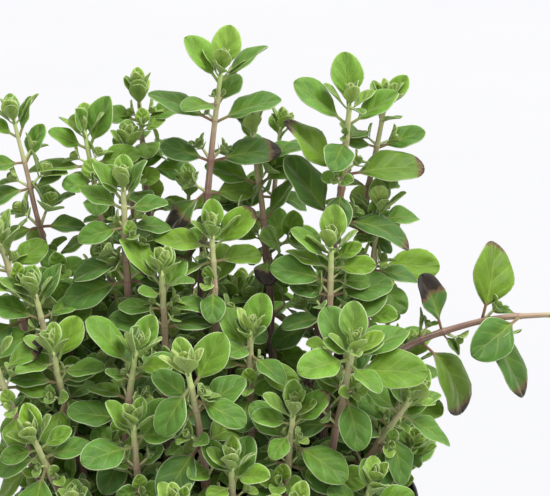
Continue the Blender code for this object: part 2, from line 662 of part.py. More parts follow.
def make_pot(group, cutters, material):
    """A tapered pot with a rim band, a flat centre disc, a foot ring and drain holes between the two."""
    band = POT_HEIGHT - RIM_BAND
    floor = FOOT_RECESS + WALL
    points = [
        (0.0, WALL),
        (13.2, WALL),
        (15.0, floor),
        (38.8, floor),
        (40.8, WALL),
        (inner_radius(WALL), WALL),
        (inner_radius(band), band),
        (RIM_RADIUS - WALL, band + WALL),
        (RIM_RADIUS - WALL, POT_HEIGHT - 0.5),
        (RIM_RADIUS - 0.8, POT_HEIGHT),
        (RIM_RADIUS - 0.3, POT_HEIGHT),
        (RIM_RADIUS, POT_HEIGHT - 0.4),
        (RIM_RADIUS, band + 0.4),
        (RIM_RADIUS - 0.4, band),
        (BODY_TOP_RADIUS, band),
        (FOOT_RADIUS + 0.1, 0.8),
        (FOOT_RADIUS - 0.7, 0.0),
        (40.2, 0.0),
        (38.2, FOOT_RECESS),
        (15.6, FOOT_RECESS),
        (14.0, 0.0),
        (0.0, 0.0),
    ]
    pot = object_from(profile_bmesh(points), "pot", group, material)
    add_screw(pot, POT_STEPS)
    bm = bmesh.new()
    for hole in range(DRAIN_HOLES):
        angle = 2 * math.pi * (hole + 0.5) / DRAIN_HOLES
        made = bmesh.ops.create_cone(
            bm, cap_ends=True, segments=16, radius1=DRAIN_RADIUS, radius2=DRAIN_RADIUS, depth=10.0
        )
        place = (DRAIN_CIRCLE * math.cos(angle), DRAIN_CIRCLE * math.sin(angle), FOOT_RECESS)
        bmesh.ops.translate(bm, vec=place, verts=made["verts"])
    add_cut(pot, object_from(bm, "drain_holes", cutters), "drained")
    return pot


def make_root_ball(group, cutters, material, grown):
    """Compost that fills the pot, a little uneven on top, with a socket for every stem."""
    low = FOOT_RECESS + WALL + SOIL_GAP
    points = [
        (0.0, SOIL_TOP + 0.6),
        (16.0, SOIL_TOP - 0.4),
        (33.0, SOIL_TOP + 0.5),
        (47.0, SOIL_TOP - 0.3),
        (inner_radius(SOIL_TOP - 2) - SOIL_GAP, SOIL_TOP - 2),
        (inner_radius(low) - SOIL_GAP, low),
        (14.6, low),
        (12.7, WALL + SOIL_GAP),
        (0.0, WALL + SOIL_GAP),
    ]
    ball = object_from(profile_bmesh(points), "root_ball", group, material)
    add_screw(ball, POT_STEPS)
    bm = bmesh.new()
    for shoot, course, pairs, _ in grown:
        heading = pairs[-1].heading
        half = course.half_width(course.length, shoot.girth) + SOCKET_GAP
        low_end = square_section(course, course.length, heading, half)
        high_end = square_section(course, course.length - SOCKET_DEPTH - 4, heading, half)
        along = course.tangent(course.length)
        corners = [bm.verts.new(corner - SOCKET_GAP * along) for corner in low_end]
        corners += [bm.verts.new(corner) for corner in high_end]
        bm.faces.new(corners[3::-1])
        bm.faces.new(corners[4:])
        for corner in range(4):
            beside = (corner + 1) % 4
            bm.faces.new((corners[corner], corners[beside], corners[beside + 4], corners[corner + 4]))
    bmesh.ops.recalc_face_normals(bm, faces=bm.faces)
    add_cut(ball, object_from(bm, "stem_sockets", cutters), "socketed")
    return ball


def loft(bm, lower, upper):
    """Joins two four-cornered sections, always cutting each side the same way."""
    for corner in range(4):
        beside = (corner + 1) % 4
        bm.faces.new((lower[corner], lower[beside], upper[beside]))
        bm.faces.new((lower[corner], upper[beside], upper[corner]))


def loft_leaf(bm, root, leaf):
    """Grows a leaf from the four corners of a stem side out to its point."""
    rings, point = leaf_rings(leaf)
    lower = root
    for level, ring in enumerate(rings):
        upper = [bm.verts.new(corner) for corner in ring]
        if level == 0:
            loft(bm, lower, upper)
        else:
            loft_blade(bm, lower, upper)
        lower = upper
    end = bm.verts.new(point)
    for corner in range(4):
        bm.faces.new((lower[corner], lower[(corner + 1) % 4], end))


def loft_blade(bm, lower, upper):
    """Joins two blade sections with both faces cut along the same diagonal, from margin to midrib."""
    below, right, above, left = range(4)
    for margin, midrib in ((right, above), (right, below), (left, above), (left, below)):
        ahead = (margin, midrib) in ((right, above), (left, below))
        triangles = (
            (lower[margin], lower[midrib], upper[midrib]),
            (lower[margin], upper[midrib], upper[margin]),
        )
        for triangle in triangles:
            bm.faces.new(triangle if ahead else triangle[::-1])


def make_shoot(group, material, name, shoot, course, pairs, leaves):
    """A square stem with its leaves and bud, as one closed body."""
    bm = bmesh.new()
    sections = stem_rings(shoot, course, pairs)
    orders = {pair.reach: order for order, pair in enumerate(pairs)}
    lower, heading, _ = sections[0]
    lower = [bm.verts.new(corner) for corner in lower]
    bm.faces.new(lower[::-1])
    before = None
    for ring, ring_heading, pair in sections[1:]:
        upper = [bm.verts.new(corner) for corner in ring]
        quarter = round((heading - ring_heading) / 90) % 4
        turned = [upper[(corner + quarter) % 4] for corner in range(4)]
        if pair is not None and pair is before:
            for side in range(4):
                corners = [lower[side - 1], lower[side], upper[side], upper[side - 1]]
                leaf = leaves.get((orders[pair.reach], side == 2)) if side % 2 == 0 else None
                if leaf is None:
                    bm.faces.new(corners)
                else:
                    loft_leaf(bm, corners, leaf)
        else:
            for side in range(4):
                bm.faces.new((lower[side - 1], lower[side], turned[side], turned[side - 1]))
        lower, heading, before = upper, ring_heading, pair
    ring, point = bud_levels(course, shoot, pairs[0].heading)
    upper = [bm.verts.new(corner) for corner in ring]
    for side in range(4):
        bm.faces.new((lower[side - 1], lower[side], upper[side], upper[side - 1]))
    end = bm.verts.new(point)
    for side in range(4):
        bm.faces.new((upper[side - 1], upper[side], end))
    bmesh.ops.triangulate(bm, faces=[face for face in bm.faces if len(face.verts) > 3])
    return object_from(bm, name, group, material)


def main():
    clear_scene()
    group = collection_named("potted_marjoram")
    cutters = collection_named("cutters", hidden=True)
    plastic = material_named("pot_plastic", (0.012, 0.012, 0.013), 0.45)
    compost = material_named("compost", (0.055, 0.034, 0.022), 0.95)
    green = material_named("marjoram_leaf", (0.115, 0.235, 0.040), 0.6)
    grown = settle(SHOOTS)
    make_pot(group, cutters, plastic)
    make_root_ball(group, cutters, compost, grown)
    for number, (shoot, course, pairs, leaves) in enumerate(grown):
        make_shoot(group, green, f"shoot_{number + 1:02d}", shoot, course, pairs, leaves)
    for obj in cutters.objects:
        obj.hide_render = True
    placed = sum(len(leaves) for *_, leaves in grown)
    wanted = sum(2 * len(pairs) for _, _, pairs, _ in grown)
    print(f"{len(grown)} shoots carry {placed} of {wanted} leaves")


if __name__ == "__main__":
    main()
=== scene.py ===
"""A potted marjoram, dressed over its fixed frame: nursery pot, compost, and shoots with their leaves and buds.

Lengths are in millimetres and angles in degrees until they reach a mesh, which is in metres. The origin is the
pot's axis on the surface it stands on, +Z is up, the front is -Y and +X is to the right. A heading of 0 points
to +X and 90 to the back. Where each leaf grew is read off the frame's own shoots, so a leaf is always dressed in
its place.
"""

import logging
import math
from collections.abc import Sequence
from dataclasses import dataclass, field
from enum import Enum
from functools import partial
from typing import Any, NamedTuple

import bpy
import numpy as np
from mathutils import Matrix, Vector

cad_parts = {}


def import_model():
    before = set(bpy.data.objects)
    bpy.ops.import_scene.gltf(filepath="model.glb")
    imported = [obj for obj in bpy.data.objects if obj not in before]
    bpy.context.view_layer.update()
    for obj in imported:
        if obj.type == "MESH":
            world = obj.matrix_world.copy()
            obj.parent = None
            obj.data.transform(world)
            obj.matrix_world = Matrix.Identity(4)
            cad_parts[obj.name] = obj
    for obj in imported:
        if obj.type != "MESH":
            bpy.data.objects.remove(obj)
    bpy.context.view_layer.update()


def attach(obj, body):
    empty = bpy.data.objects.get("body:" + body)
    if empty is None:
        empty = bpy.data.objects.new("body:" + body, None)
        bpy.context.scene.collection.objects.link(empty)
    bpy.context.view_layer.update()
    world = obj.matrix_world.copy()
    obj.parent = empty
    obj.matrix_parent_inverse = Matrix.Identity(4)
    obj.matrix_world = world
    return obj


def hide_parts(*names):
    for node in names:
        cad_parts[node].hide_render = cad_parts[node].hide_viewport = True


MM = 0.001
log = logging.getLogger("marjoram")

Triple = tuple[float, float, float]


# ---------------------------------------------------------------- growth: the frame's own rule


class Pair(NamedTuple):
    """Two opposite leaves: the distance below the tip, the heading of the first, and each leaf's way to grow.

    A leaf gives its rise from the stem's cross-section, its length, its droop and, if it is unusual, how far
    its face has turned to the light.
    """

    reach: float
    heading: float
    first: tuple[float, ...]
    second: tuple[float, ...]


class Shoot(NamedTuple):
    """One stem: where it stands, where it ends, how it bows, and the pairs it carries."""

    base: tuple[float, float]
    tip: Triple
    bow: Triple = (0.0, 0.0, 0.0)
    turn: float = 0.0
    size: float = 1.0
    count: int = 4
    girth: float = 1.0
    pairs: tuple[Pair, ...] = ()


# The shoots that make the front of the plant, nearest the front first, then those that fill it out
SHOOTS = (
    # left of the front, low
    Shoot((6, -33), (5, -45, 127), turn=85, count=6, pairs=(
        Pair(1.8, 85, (66, 9, -8), (55, 7, -8)),
        Pair(4.4, 150, (48, 12, 0), (22, 12, 8)),
        Pair(7.6, 55, (52, 14, 0), (18, 10, 8)),
        Pair(13.0, 190, (-8, 16, 24), (-6, 14, 22)))),
    Shoot((18, -26), (22, -38, 140), turn=95, pairs=(
        Pair(1.8, 95, (70, 10, -8), (60, 7.5, -8)),
        Pair(4.4, 10, (46, 13, 2), (16, 11, 6)),
        Pair(7.4, 60, (52, 13, 4), (-16, 10, 10)),
        Pair(11.0, 150, (36, 15, 6), (-8, 18, 26)),
        Pair(18.0, 340, (-6, 16, 30), (0, 14, 26)),
        Pair(27.0, 250, (-10, 14, 26), (0, 13, 26)))),
    Shoot((-20, -28), (-22, -40, 137), turn=60, pairs=(
        Pair(1.8, 60, (56, 8.5, -6), (58, 7, -6)),
        Pair(4.4, 160, (54, 12, 0), (16, 12, 6)),
        Pair(7.6, 40, (42, 15, 4), (12, 17, 10)),
        Pair(15.0, 195, (36, 9, 0), (40, 9, 0)),
        Pair(23.0, 280, (-12, 15, 26), (0, 14, 26)))),
    Shoot((-3, -30), (-7, -43, 154), bow=(5, 0, 4), turn=90, pairs=(
        Pair(2.0, 100, (60, 10, -8), (50, 10, -8)),
        Pair(6.4, 34, (42, 16.5, 2), (-34, 15, 16)),
        Pair(10.5, 335, (-20, 15, 16), (38, 13, 4)),
        Pair(14.0, 5, (30, 16, 8), (-36, 10, 12)),
        Pair(25.0, 225, (-26, 18, 24), (4, 15, 26)),
        Pair(36.0, 310, (-16, 14, 26), (0, 13, 26)))),
    Shoot((26, -22), (38.4, -35, 157), turn=100, pairs=(
        Pair(1.0, 100, (60, 13.5, -4), (20, 7, 4)),
        Pair(2.3, 10, (32, 9, 0), (26, 9, 0)),
        Pair(3.7, 215, (0, 16.5, 14), (22, 19, 8)),
        Pair(5.2, 308, (-4, 12.5, 14), (42, 17, 2)),
        Pair(7.0, 357, (12, 21, 10), (0, 13, 20)),
        Pair(14.5, 300, (-40, 16, 14), (8, 14, 22)),
        Pair(25.0, 20, (-8, 15, 26), (0, 14, 26)))),
    Shoot((24, -16), (56, -25, 139.5), bow=(2, 0, 8), turn=90, pairs=(
        Pair(1.6, 90, (66, 10, -8), (58, 7, -8)),
        Pair(3.6, 20, (44, 10, 2), (30, 9, 4)),
        Pair(7.0, 0, (2, 17, 12), (14, 13, 14)),
        Pair(12.5, 320, (-34, 16, 14), (10, 13, 20)),
        Pair(18.0, 290, (-26, 15, 22), (8, 14, 22)),
        Pair(27.0, 345, (-20, 14, 26), (0, 14, 26)))),
    Shoot((-32, -26), (-50, -38, 132), turn=85, pairs=(
        Pair(1.8, 85, (66, 11, -6), (48, 7, -8)),
        Pair(4.2, 10, (12, 10, 4), (10, 10, 4)),
        Pair(7.2, 355, (4, 14, 20), (6, 14, 20)),
        Pair(10.5, 235, (-34, 19, 16), (20, 14, 12)),
        Pair(15.0, 300, (-30, 15, 18), (8, 13, 20)))),
    Shoot((-24, -20), (-21.5, -30, 155), bow=(-6, 0, 0), turn=60, pairs=(
        Pair(2.0, 60, (60, 12, -8), (64, 12, -8)),
        Pair(5.6, 165, (38, 18, 4), (22, 10, 6)),
        Pair(9.5, 205, (22, 8, 0), (30, 13, 6)),
        Pair(16.0, 330, (-26, 14, 16), (4, 13, 22)),
        Pair(22.0, 185, (2, 16, -6), (-8, 13, 22)),
        Pair(33.0, 250, (-16, 14, 26), (0, 14, 26)))),
    Shoot((-32, -16), (-46, -22, 152.5), turn=75, pairs=(
        Pair(1.8, 75, (58, 9, -6), (58, 10, -6)),
        Pair(4.4, 40, (56, 14, 2), (12, 12, 6)),
        Pair(7.2, 160, (44, 11, 0), (6, 14, 12)),
        Pair(10.5, 185, (24, 15, 10), (14, 11, 12)),
        Pair(17.0, 240, (-26, 15, 16), (10, 13, 22)),
        Pair(27.0, 320, (-12, 14, 26), (0, 13, 26)))),
    Shoot((10, -13), (10, -20, 157), turn=60, pairs=(
        Pair(1.8, 150, (50, 6, 0), (40, 6, 0)),
        Pair(4.4, 60, (64, 15, 2), (12, 11, 10)),
        Pair(7.4, 135, (46, 16, 4), (-14, 13, 20)),
        Pair(11.0, 172, (12, 17, 26), (-16, 14, 22)),
        Pair(20.0, 80, (10, 15, 26), (-4, 15, 26)),
        Pair(31.0, 0, (-10, 14, 30), (-8, 14, 30)))),
    Shoot((-13, -11), (-15, -15, 174), turn=45, pairs=(
        Pair(1.8, 45, (60, 7.5, -6), (60, 7.5, -6)),
        Pair(4.6, 150, (48, 17, 6), (12, 10, 4)),
        Pair(7.4, 48, (52, 12, 4), (20, 9, 4)),
        Pair(12.0, 5, (14, 12, 40), (10, 12, 10)),
        Pair(17.5, 176, (8, 15, -4), (10, 13, 16)),
        Pair(27.0, 240, (-18, 14, 26), (0, 15, 26)),
        Pair(40.0, 330, (-14, 14, 30), (-6, 14, 30)))),
    Shoot((2, -6), (-1, -8, 183), turn=90, pairs=(
        Pair(1.8, 90, (68, 11, -4), (44, 7.5, -4)),
        Pair(4.6, 10, (42, 15.5, 4), (14, 16, 14)),
        Pair(9.0, 200, (-8, 17, 18), (6, 14, 16)),
        Pair(17.0, 250, (-34, 13, 16), (50, 14, 4)),
        Pair(27.0, 350, (-12, 15, 26), (-4, 15, 26)),
        Pair(39.0, 265, (-16, 14, 26), (-4, 14, 26)))),
    Shoot((28, -8), (33, -12, 180), bow=(2, 0, 0), turn=80, pairs=(
        Pair(1.6, 80, (70, 13, -2), (26, 6.5, 0)),
        Pair(4.2, 5, (30, 9, 2), (40, 14, 2)),
        Pair(6.8, 350, (12, 12, 10), (22, 13, 10)),
        Pair(10.6, 190, (20, 17, 14), (0, 11, 16)),
        Pair(15.0, 5, (12, 18, 12), (18, 11, 10)),
        Pair(22.0, 190, (-4, 13, 16), (26, 17, 4)),
        Pair(33.0, 275, (-16, 14, 26), (0, 14, 26)))),
    Shoot((-24, -5), (-26, -8, 197), turn=90, pairs=(
        Pair(1.8, 90, (68, 10, -4), (56, 7, -6)),
        Pair(4.4, 0, (60, 13, 0), (54, 13, 0)),
        Pair(7.2, 350, (10, 12, 8), (28, 13, 8)),
        Pair(13.0, 200, (-4, 13, 22), (0, 13, 18)),
        Pair(18.5, 300, (-14, 15, 22), (6, 13, 20)),
        Pair(23.0, 188, (-12, 15, 16), (-4, 13, 22)),
        Pair(29.0, 192, (-12, 18, 16), (-8, 14, 26)),
        Pair(42.0, 270, (-16, 14, 26), (-6, 14, 26)))),
    Shoot((-33, -7), (-52, -10, 166), turn=90, pairs=(
        Pair(1.8, 90, (64, 8, -6), (48, 8, -6)),
        Pair(4.6, 20, (48, 13, 2), (46, 10, -4)),
        Pair(8.4, 350, (16, 13, 10), (34, 15, 4)),
        Pair(13.0, 10, (20, 14, 12), (0, 17, 16)),
        Pair(23.0, 290, (-14, 14, 26), (0, 13, 26)))),
    # the two tall ones
    Shoot((14, 2), (38.2, -2, 219.5), bow=(7.4, 0, 0), turn=100, girth=1.0, pairs=(
        Pair(1.8, 108, (62, 16, -8), (4, 9, 4)),
        Pair(6.4, 5, (38, 16, 2), (38, 19, 6)),
        Pair(11.4, 255, (-12, 15, 22), (6, 16, 16)),
        Pair(21.4, 8, (15, 23, 14), (41, 22.5, 6)),
        Pair(25.4, 250, (-40, 14, 14), (8, 13, 20)),
        Pair(35.4, 352, (14, 22, 60), (44, 23, -4)),
        Pair(50.0, 270, (-16, 15, 26), (0, 15, 26)))),
    Shoot((-5, 8), (1.6, 8, 227), bow=(-7, 0, 0), turn=90, girth=0.88, pairs=(
        Pair(1.4, 82, (66, 14.5, -8), (28, 9, 2)),
        Pair(3.4, 0, (48, 16.5, 8), (48, 15.5, 8)),
        Pair(10.2, 58, (44, 12, 6), (4, 15, 16)),
        Pair(15.2, 0, (34, 19.5, 22), (22, 20, 14)),
        Pair(27.0, 12, (22, 20, 22), (20, 14.5, 18)),
        Pair(37.0, 195, (-44, 17, 18, 0.3), (12, 13, 16)),
        Pair(53.0, 100, (-4, 15, 26), (-16, 15, 26)))),
    # the stem that runs out to the right
    Shoot((30, 4), (109, 2, 155), bow=(-43.5, 3, 40), turn=90, girth=0.82, pairs=(
        Pair(2.2, 90, (60, 9, -6), (58, 9, -6)),
        Pair(5.4, 180, (44, 13, 4), (30, 12, 8)),
        Pair(11.0, 90, (28, 15, 12), (22, 15, 12)),
        Pair(20.5, 286, (-42, 20.5, 16, 0.75), (-66, 8, 4)),
        Pair(30.8, 168, (26, 23.5, 38, 0.85), (24, 25, 16, 0.62)),
        Pair(43.2, 178, (5, 17.5, 12, 0.5), (20, 8, 10, 0.7)),
        Pair(50.0, 355, (24, 27, 50, 0.5), (30, 9, 6)),
        Pair(64.0, 200, (-10, 14, 16), (10, 14, 20)))),
    # behind and between
    Shoot((28, 12), (49, 8, 218), bow=(-2, 0, 0), turn=30, girth=0.85, pairs=(
        Pair(2.2, 30, (62, 11, -4), (52, 9.5, -4)),
        Pair(6.0, 115, (40, 10, 4), (24, 9.5, 8)),
        Pair(14.0, 0, (32, 14, 10), (20, 11, 10)),
        Pair(26.0, 20, (10, 9, 12), (20, 10, 10)),
        Pair(40.0, 110, (0, 14, 26), (-6, 13, 26)))),
    Shoot((37, -3), (47, 2, 188), turn=90, girth=0.8, pairs=(
        Pair(1.8, 90, (54, 11, 2), (40, 7, 2)),
        Pair(4.6, 0, (22, 13, 46), (26, 10, 8)),
        Pair(9.0, 60, (24, 12, 10), (4, 10, 20)),
        Pair(19.0, 350, (0, 13, 26), (0, 12, 26)))),
    Shoot((35, 18), (48, 20, 172), turn=60, girth=0.85, pairs=(
        Pair(2.0, 60, (60, 9, -4), (50, 9, -4)),
        Pair(7.0, 355, (14, 19, 16), (14, 13, 14)),
        Pair(11.5, 320, (-20, 14, 22), (4, 13, 22)),
        Pair(22.0, 20, (24, 9, 6), (22, 9, 6)))),
    Shoot((15, 12), (10, 14, 209), bow=(7, 0, 0), turn=10, girth=0.9, pairs=(
        Pair(1.8, 10, (58, 8, -4), (56, 8, -4)),
        Pair(5.0, 100, (48, 9, 0), (38, 8.5, 2)),
        Pair(9.0, 0, (8, 14, 14), (20, 12, 14)),
        Pair(17.0, 188, (30, 16, 12), (28, 13, 12)),
        Pair(28.0, 5, (50, 14, 4), (36, 13, 10)),
        Pair(40.0, 90, (0, 14, 26), (-10, 13, 26)))),
    Shoot((13, 23), (19, 26, 208), bow=(-5, 0, 0), turn=20, size=0.72, girth=0.75, count=5),
    Shoot((-30, 10), (-59, 10, 213), bow=(-2, 0, 3), turn=0, girth=0.75, pairs=(
        Pair(2.0, 95, (60, 9, -4), (48, 8, -4)),
        Pair(6.0, 10, (60, 12, 0), (44, 11, 2)),
        Pair(14.0, 20, (52, 12, 2), (10, 11, 10)),
        Pair(22.0, 185, (-2, 13, 14), (14, 9, 10)),
        Pair(34.0, 10, (-10, 13, 20), (0, 13, 20)))),
    Shoot((-38, -3), (-62, -4, 180), bow=(-2, 0, 3), turn=40, size=0.95, count=5),
    Shoot((-22, 14), (-39, 15, 208), bow=(2, 0, 0), turn=80, girth=0.9, pairs=(
        Pair(2.0, 80, (64, 10, -4), (60, 11, -6)),
        Pair(5.4, 20, (58, 16, 0), (38, 12, 8)),
        Pair(11.0, 185, (8, 18, 10), (10, 14, 18)),
        Pair(20.0, 95, (8, 14, 22), (-4, 13, 22)),
        Pair(32.0, 185, (-8, 14, 26), (0, 13, 26)))),
    Shoot((-15, 26), (-24, 30, 217), turn=0, size=0.85, girth=0.8, count=5),
    Shoot((-20, 22), (-27, 22, 203), turn=35, size=0.75, girth=0.75, count=4),
    Shoot((-8, 20), (-9, 23, 190), turn=10, size=0.7, girth=0.7, count=4),
    Shoot((-41, -17), (-62, -26, 152), bow=(-2, 0, 3), turn=0, count=4, pairs=(
        Pair(2.0, 90, (60, 9, -4), (50, 9, -4)),
        Pair(6.0, 10, (20, 14, 10), (40, 13, 4)),
        Pair(11.0, 0, (-4, 17, 10), (6, 15, 16)),
        Pair(19.0, 280, (-12, 14, 24), (0, 13, 24)))),
    # low ones around the front of the rim
    Shoot((-8, -43), (-10, -51, 117), turn=30, size=0.9, count=4),
    Shoot((-33, -37), (-38, -47, 116), turn=0, size=0.9, count=4),
    Shoot((20, -41), (22, -52, 116), turn=60, size=0.9, count=4),
    Shoot((36, -30), (44, -42, 121), turn=20, size=0.85, count=4),
    Shoot((39, -12), (55, -8, 132), turn=70, size=0.9, count=4),
    # the sides and the back
    Shoot((44, 8), (58, 14, 140), turn=30, size=0.9, count=4),
    Shoot((42, 26), (53, 36, 146), turn=0, size=0.95, count=4),
    Shoot((24, 38), (32, 46, 150), turn=50, size=0.95, count=4),
    Shoot((4, 34), (6, 40, 152), turn=10, size=0.95, count=5),
    Shoot((8, 47), (10, 56, 132), turn=80, size=0.9, count=4),
    Shoot((-14, 42), (-16, 50, 148), turn=40, size=0.95, count=4),
    Shoot((-32, 32), (-38, 40, 158), turn=20, size=0.95, count=5),
    Shoot((-42, 10), (-56, 18, 150), turn=70, size=0.9, count=4),
    Shoot((-30, 41), (-42, 49, 124), turn=0, size=0.9, count=3),
    Shoot((2, 20), (4, 20, 156), turn=60, size=0.9, count=4),
    Shoot((33, 38), (42, 50, 122), turn=25, size=0.85, count=3),
    Shoot((-48, 0), (-58, -4, 122), turn=0, size=0.85, count=3),
    Shoot((47, -4), (57, -12, 120), turn=45, size=0.85, count=3),
    Shoot((46, 13), (56, 20, 120), turn=10, size=0.85, count=3),
    Shoot((-20, 46), (-21, 54, 120), turn=60, size=0.85, count=3),
    Shoot((22, 45), (24, 54, 119), turn=20, size=0.85, count=3),
    Shoot((-43, 21), (-54, 27, 122), turn=30, size=0.85, count=3),
)  # fmt: skip


@dataclass(frozen=True)
class Growth:
    """The rule that every shoot grew by, in millimetres and degrees, the same as the frame's."""

    root_z: float = 81.0
    stem_base: float = 2.9
    stem_tip: float = 1.3
    stout_below: float = 70.0
    stouter: float = 0.7
    node_swell: float = 1.12
    petiole_share: float = 0.16
    slender_small: float = 0.52
    slender: float = 0.57
    lowest_pair: float = 17.0
    lower_step: float = 18.0
    turn_to_light: float = 0.6
    light: Triple = (0.14, -0.72, 0.68)
    reach: tuple[float, ...] = (2.2, 5.0, 10.0, 17.0, 26.0, 37.0, 49.0, 62.0)
    length: tuple[float, ...] = (8.0, 11.5, 15.0, 17.0, 17.5, 17.0, 16.0, 15.0)
    rise: tuple[float, ...] = (64.0, 46.0, 28.0, 12.0, 0.0, -12.0, -20.0, -24.0)
    droop: tuple[float, ...] = (-6.0, 6.0, 18.0, 26.0, 32.0, 36.0, 40.0, 42.0)
    # where a crowded leaf may have gone instead: turned, raised, and its size
    yields: tuple[Triple, ...] = (
        (0, 0, 1.0), (10, 0, 1.0), (-10, 0, 1.0), (0, 10, 1.0), (0, -10, 1.0), (18, 8, 0.95), (-18, 8, 0.95),
        (18, -10, 0.95), (-18, -10, 0.95), (0, 20, 0.9), (0, -20, 0.9), (28, 0, 0.85), (-28, 0, 0.85),
        (15, 12, 0.75), (-15, 12, 0.75), (15, -15, 0.75), (-15, -15, 0.75), (0, 0, 0.6), (25, 10, 0.6),
        (-25, 10, 0.6),
    )  # fmt: skip


RULE = Growth()


class Leaf(NamedTuple):
    """One leaf: how it runs from its root, and what its age and luck have made of it.

    The directions are unit vectors and the droop is in radians. age runs from 0 in the bud to 1 at the foot of a
    shoot, burn is the share of the blade that has withered, and fold, cup and wave shape the blade.
    """

    root: np.ndarray
    onward: np.ndarray
    upper: np.ndarray
    length: float
    width: float
    droop: float
    age: float = 0.5
    burn: float = 0.0
    chance: float = 0.5
    fold: float = 0.42
    cup: float = 0.0
    wave: float = 0.05
    petiole: float = 0.5


def unit(vector: np.ndarray) -> np.ndarray:
    """The vector divided by its length."""
    return vector / np.linalg.norm(vector, axis=-1, keepdims=True)


def wobble(*keys: float) -> float:
    """A number between -1 and 1 that is always the same for the same keys."""
    value = math.sin(sum(key * step for key, step in zip(keys, (12.9898, 78.233, 37.719)))) * 43758.5453
    return 2 * (value - math.floor(value)) - 1


def smooth_step(value: np.ndarray, low: float, high: float) -> np.ndarray:
    """0 at low, 1 at high, and 3x² - 2x³ between them."""
    share = np.clip((value - low) / (high - low), 0, 1)
    return share * share * (3 - 2 * share)


class Course:
    """The line that a stem follows, a quadratic curve from its base past a pull point to its tip."""

    def __init__(self, shoot: Shoot) -> None:
        """Works out the curve and its length.

        Args:
            shoot: The shoot that follows it.
        """
        self.base = np.array([*shoot.base, RULE.root_z], float)
        self.tip = np.array(shoot.tip, float)
        self.pull = (self.base + self.tip) / 2 + np.array(shoot.bow, float)
        share = np.linspace(0, 1, 65)[:, None]
        line = (1 - share) ** 2 * self.base + 2 * share * (1 - share) * self.pull + share**2 * self.tip
        steps = np.linalg.norm(np.diff(line[::-1], axis=0), axis=1)
        self.below = np.concatenate([[0], np.cumsum(steps)])
        self.share = share[::-1, 0]
        self.length = float(self.below[-1])

    def point(self, below: Any) -> np.ndarray:
        """The middle of the stem, on the curve and straight on above its tip.

        Args:
            below: Distances below the tip.

        Returns:
            The points.
        """
        below = np.asarray(below, float)
        share = np.interp(below, self.below, self.share)[..., None]
        on_line = (1 - share) ** 2 * self.base + 2 * share * (1 - share) * self.pull + share**2 * self.tip
        return on_line + np.clip(-below, 0, None)[..., None] * unit(self.tip - self.pull)

    def tangent(self, below: Any) -> np.ndarray:
        """The direction towards the tip."""
        share = np.interp(np.asarray(below, float), self.below, self.share)[..., None]
        return unit((1 - share) * (self.pull - self.base) + share * (self.tip - self.pull))

    def outward(self, below: Any, heading: Any) -> np.ndarray:
        """The direction square to the stem that has this heading when the stem is upright.

        Args:
            below: Distances below the tip.
            heading: Headings, in radians.

        Returns:
            Unit vectors.
        """
        along = self.tangent(below)
        heading = np.asarray(heading, float)
        level = np.stack([np.cos(heading), np.sin(heading), np.zeros_like(heading)], axis=-1)
        lean = (along * level).sum(axis=-1, keepdims=True) / (1 + along[..., 2:])
        return level - lean * (along + np.array([0, 0, 1.0]))

    def half_width(self, below: Any, girth: float) -> np.ndarray:
        """Half the stem's width: thin at the tip and stouter as a power of the distance below it."""
        share = np.clip(np.asarray(below, float) / RULE.stout_below, 0, 1) ** RULE.stouter
        return girth * (RULE.stem_tip + (RULE.stem_base - RULE.stem_tip) * share) / 2


def grown_pair(shoot: Shoot, number: int, order: int, reach: float, heading: float) -> Pair:
    """A pair that follows the growth rule for its order below the tip, with a little variety.

    Args:
        shoot: The shoot it grows on.
        number: The shoot's number, which the variety comes from.
        order: Its order below the tip.
        reach: Its distance below the tip.
        heading: Its heading, in degrees.

    Returns:
        The pair.
    """
    first, second = [
        (
            RULE.rise[order] + 8 * wobble(number, reach, side),
            RULE.length[order] * shoot.size * (1 + 0.08 * wobble(number, reach, side + 5)),
            RULE.droop[order] + 6 * wobble(number, reach, side + 9),
        )
        for side in (1, 2)
    ]
    return Pair(reach, heading + 14 * wobble(number, reach, 20), first, second)


def pairs_of(shoot: Shoot, number: int, course: Course) -> tuple[Pair, ...]:
    """The shoot's own pairs, or those that the growth rule gives it, and then its lower leaves.

    Args:
        shoot: The shoot.
        number: Its number.
        course: The line of its stem.

    Returns:
        The pairs, from the tip down.
    """
    pairs = list(shoot.pairs)
    if not pairs:
        spread = 0.6 + 0.4 * shoot.size
        pairs = [
            grown_pair(shoot, number, order, RULE.reach[order] * spread, shoot.turn + 90 * order)
            for order in range(shoot.count)
        ]
    while pairs[-1].reach + RULE.lower_step < course.length - RULE.lowest_pair:
        last = pairs[-1]
        pairs.append(grown_pair(shoot, number, 7, last.reach + RULE.lower_step, last.heading + 90))
    return tuple(pairs)


def leaf_of(course: Course, pair: Pair, second: bool, change: Triple, girth: float) -> Leaf:
    """One leaf of a pair, with this change to its heading, rise and size.

    Args:
        course: The line of the stem.
        pair: The pair that the leaf belongs to.
        second: Whether it is the second leaf of the pair.
        change: How far it is turned and raised, in degrees, and its size.
        girth: How stout the stem is.

    Returns:
        The leaf, with its face turned part of the way from the stem's tip to the light.
    """
    turned, raised, size = change
    rise, length, droop, *faced = pair.second if second else pair.first
    heading = math.radians(pair.heading + (180 if second else 0) + turned)
    outward = course.outward(pair.reach, heading)
    along = course.tangent(pair.reach)
    climb = math.radians(rise + raised)
    onward = math.cos(climb) * outward + math.sin(climb) * along
    upper = math.cos(climb) * along - math.sin(climb) * outward
    root = course.point(pair.reach) + course.half_width(pair.reach, girth) * RULE.node_swell * outward
    luck = wobble(pair.reach, pair.heading, second + 1)
    share = faced[0] if faced else RULE.turn_to_light * (1 + 0.4 * luck)
    light = np.array(RULE.light)
    upper = unit((1 - share) * upper + share * (light - (light @ onward) * onward))
    slender = RULE.slender_small if length < 10 else RULE.slender
    return Leaf(root, unit(onward), upper, length * size, length * size * slender, math.radians(droop))


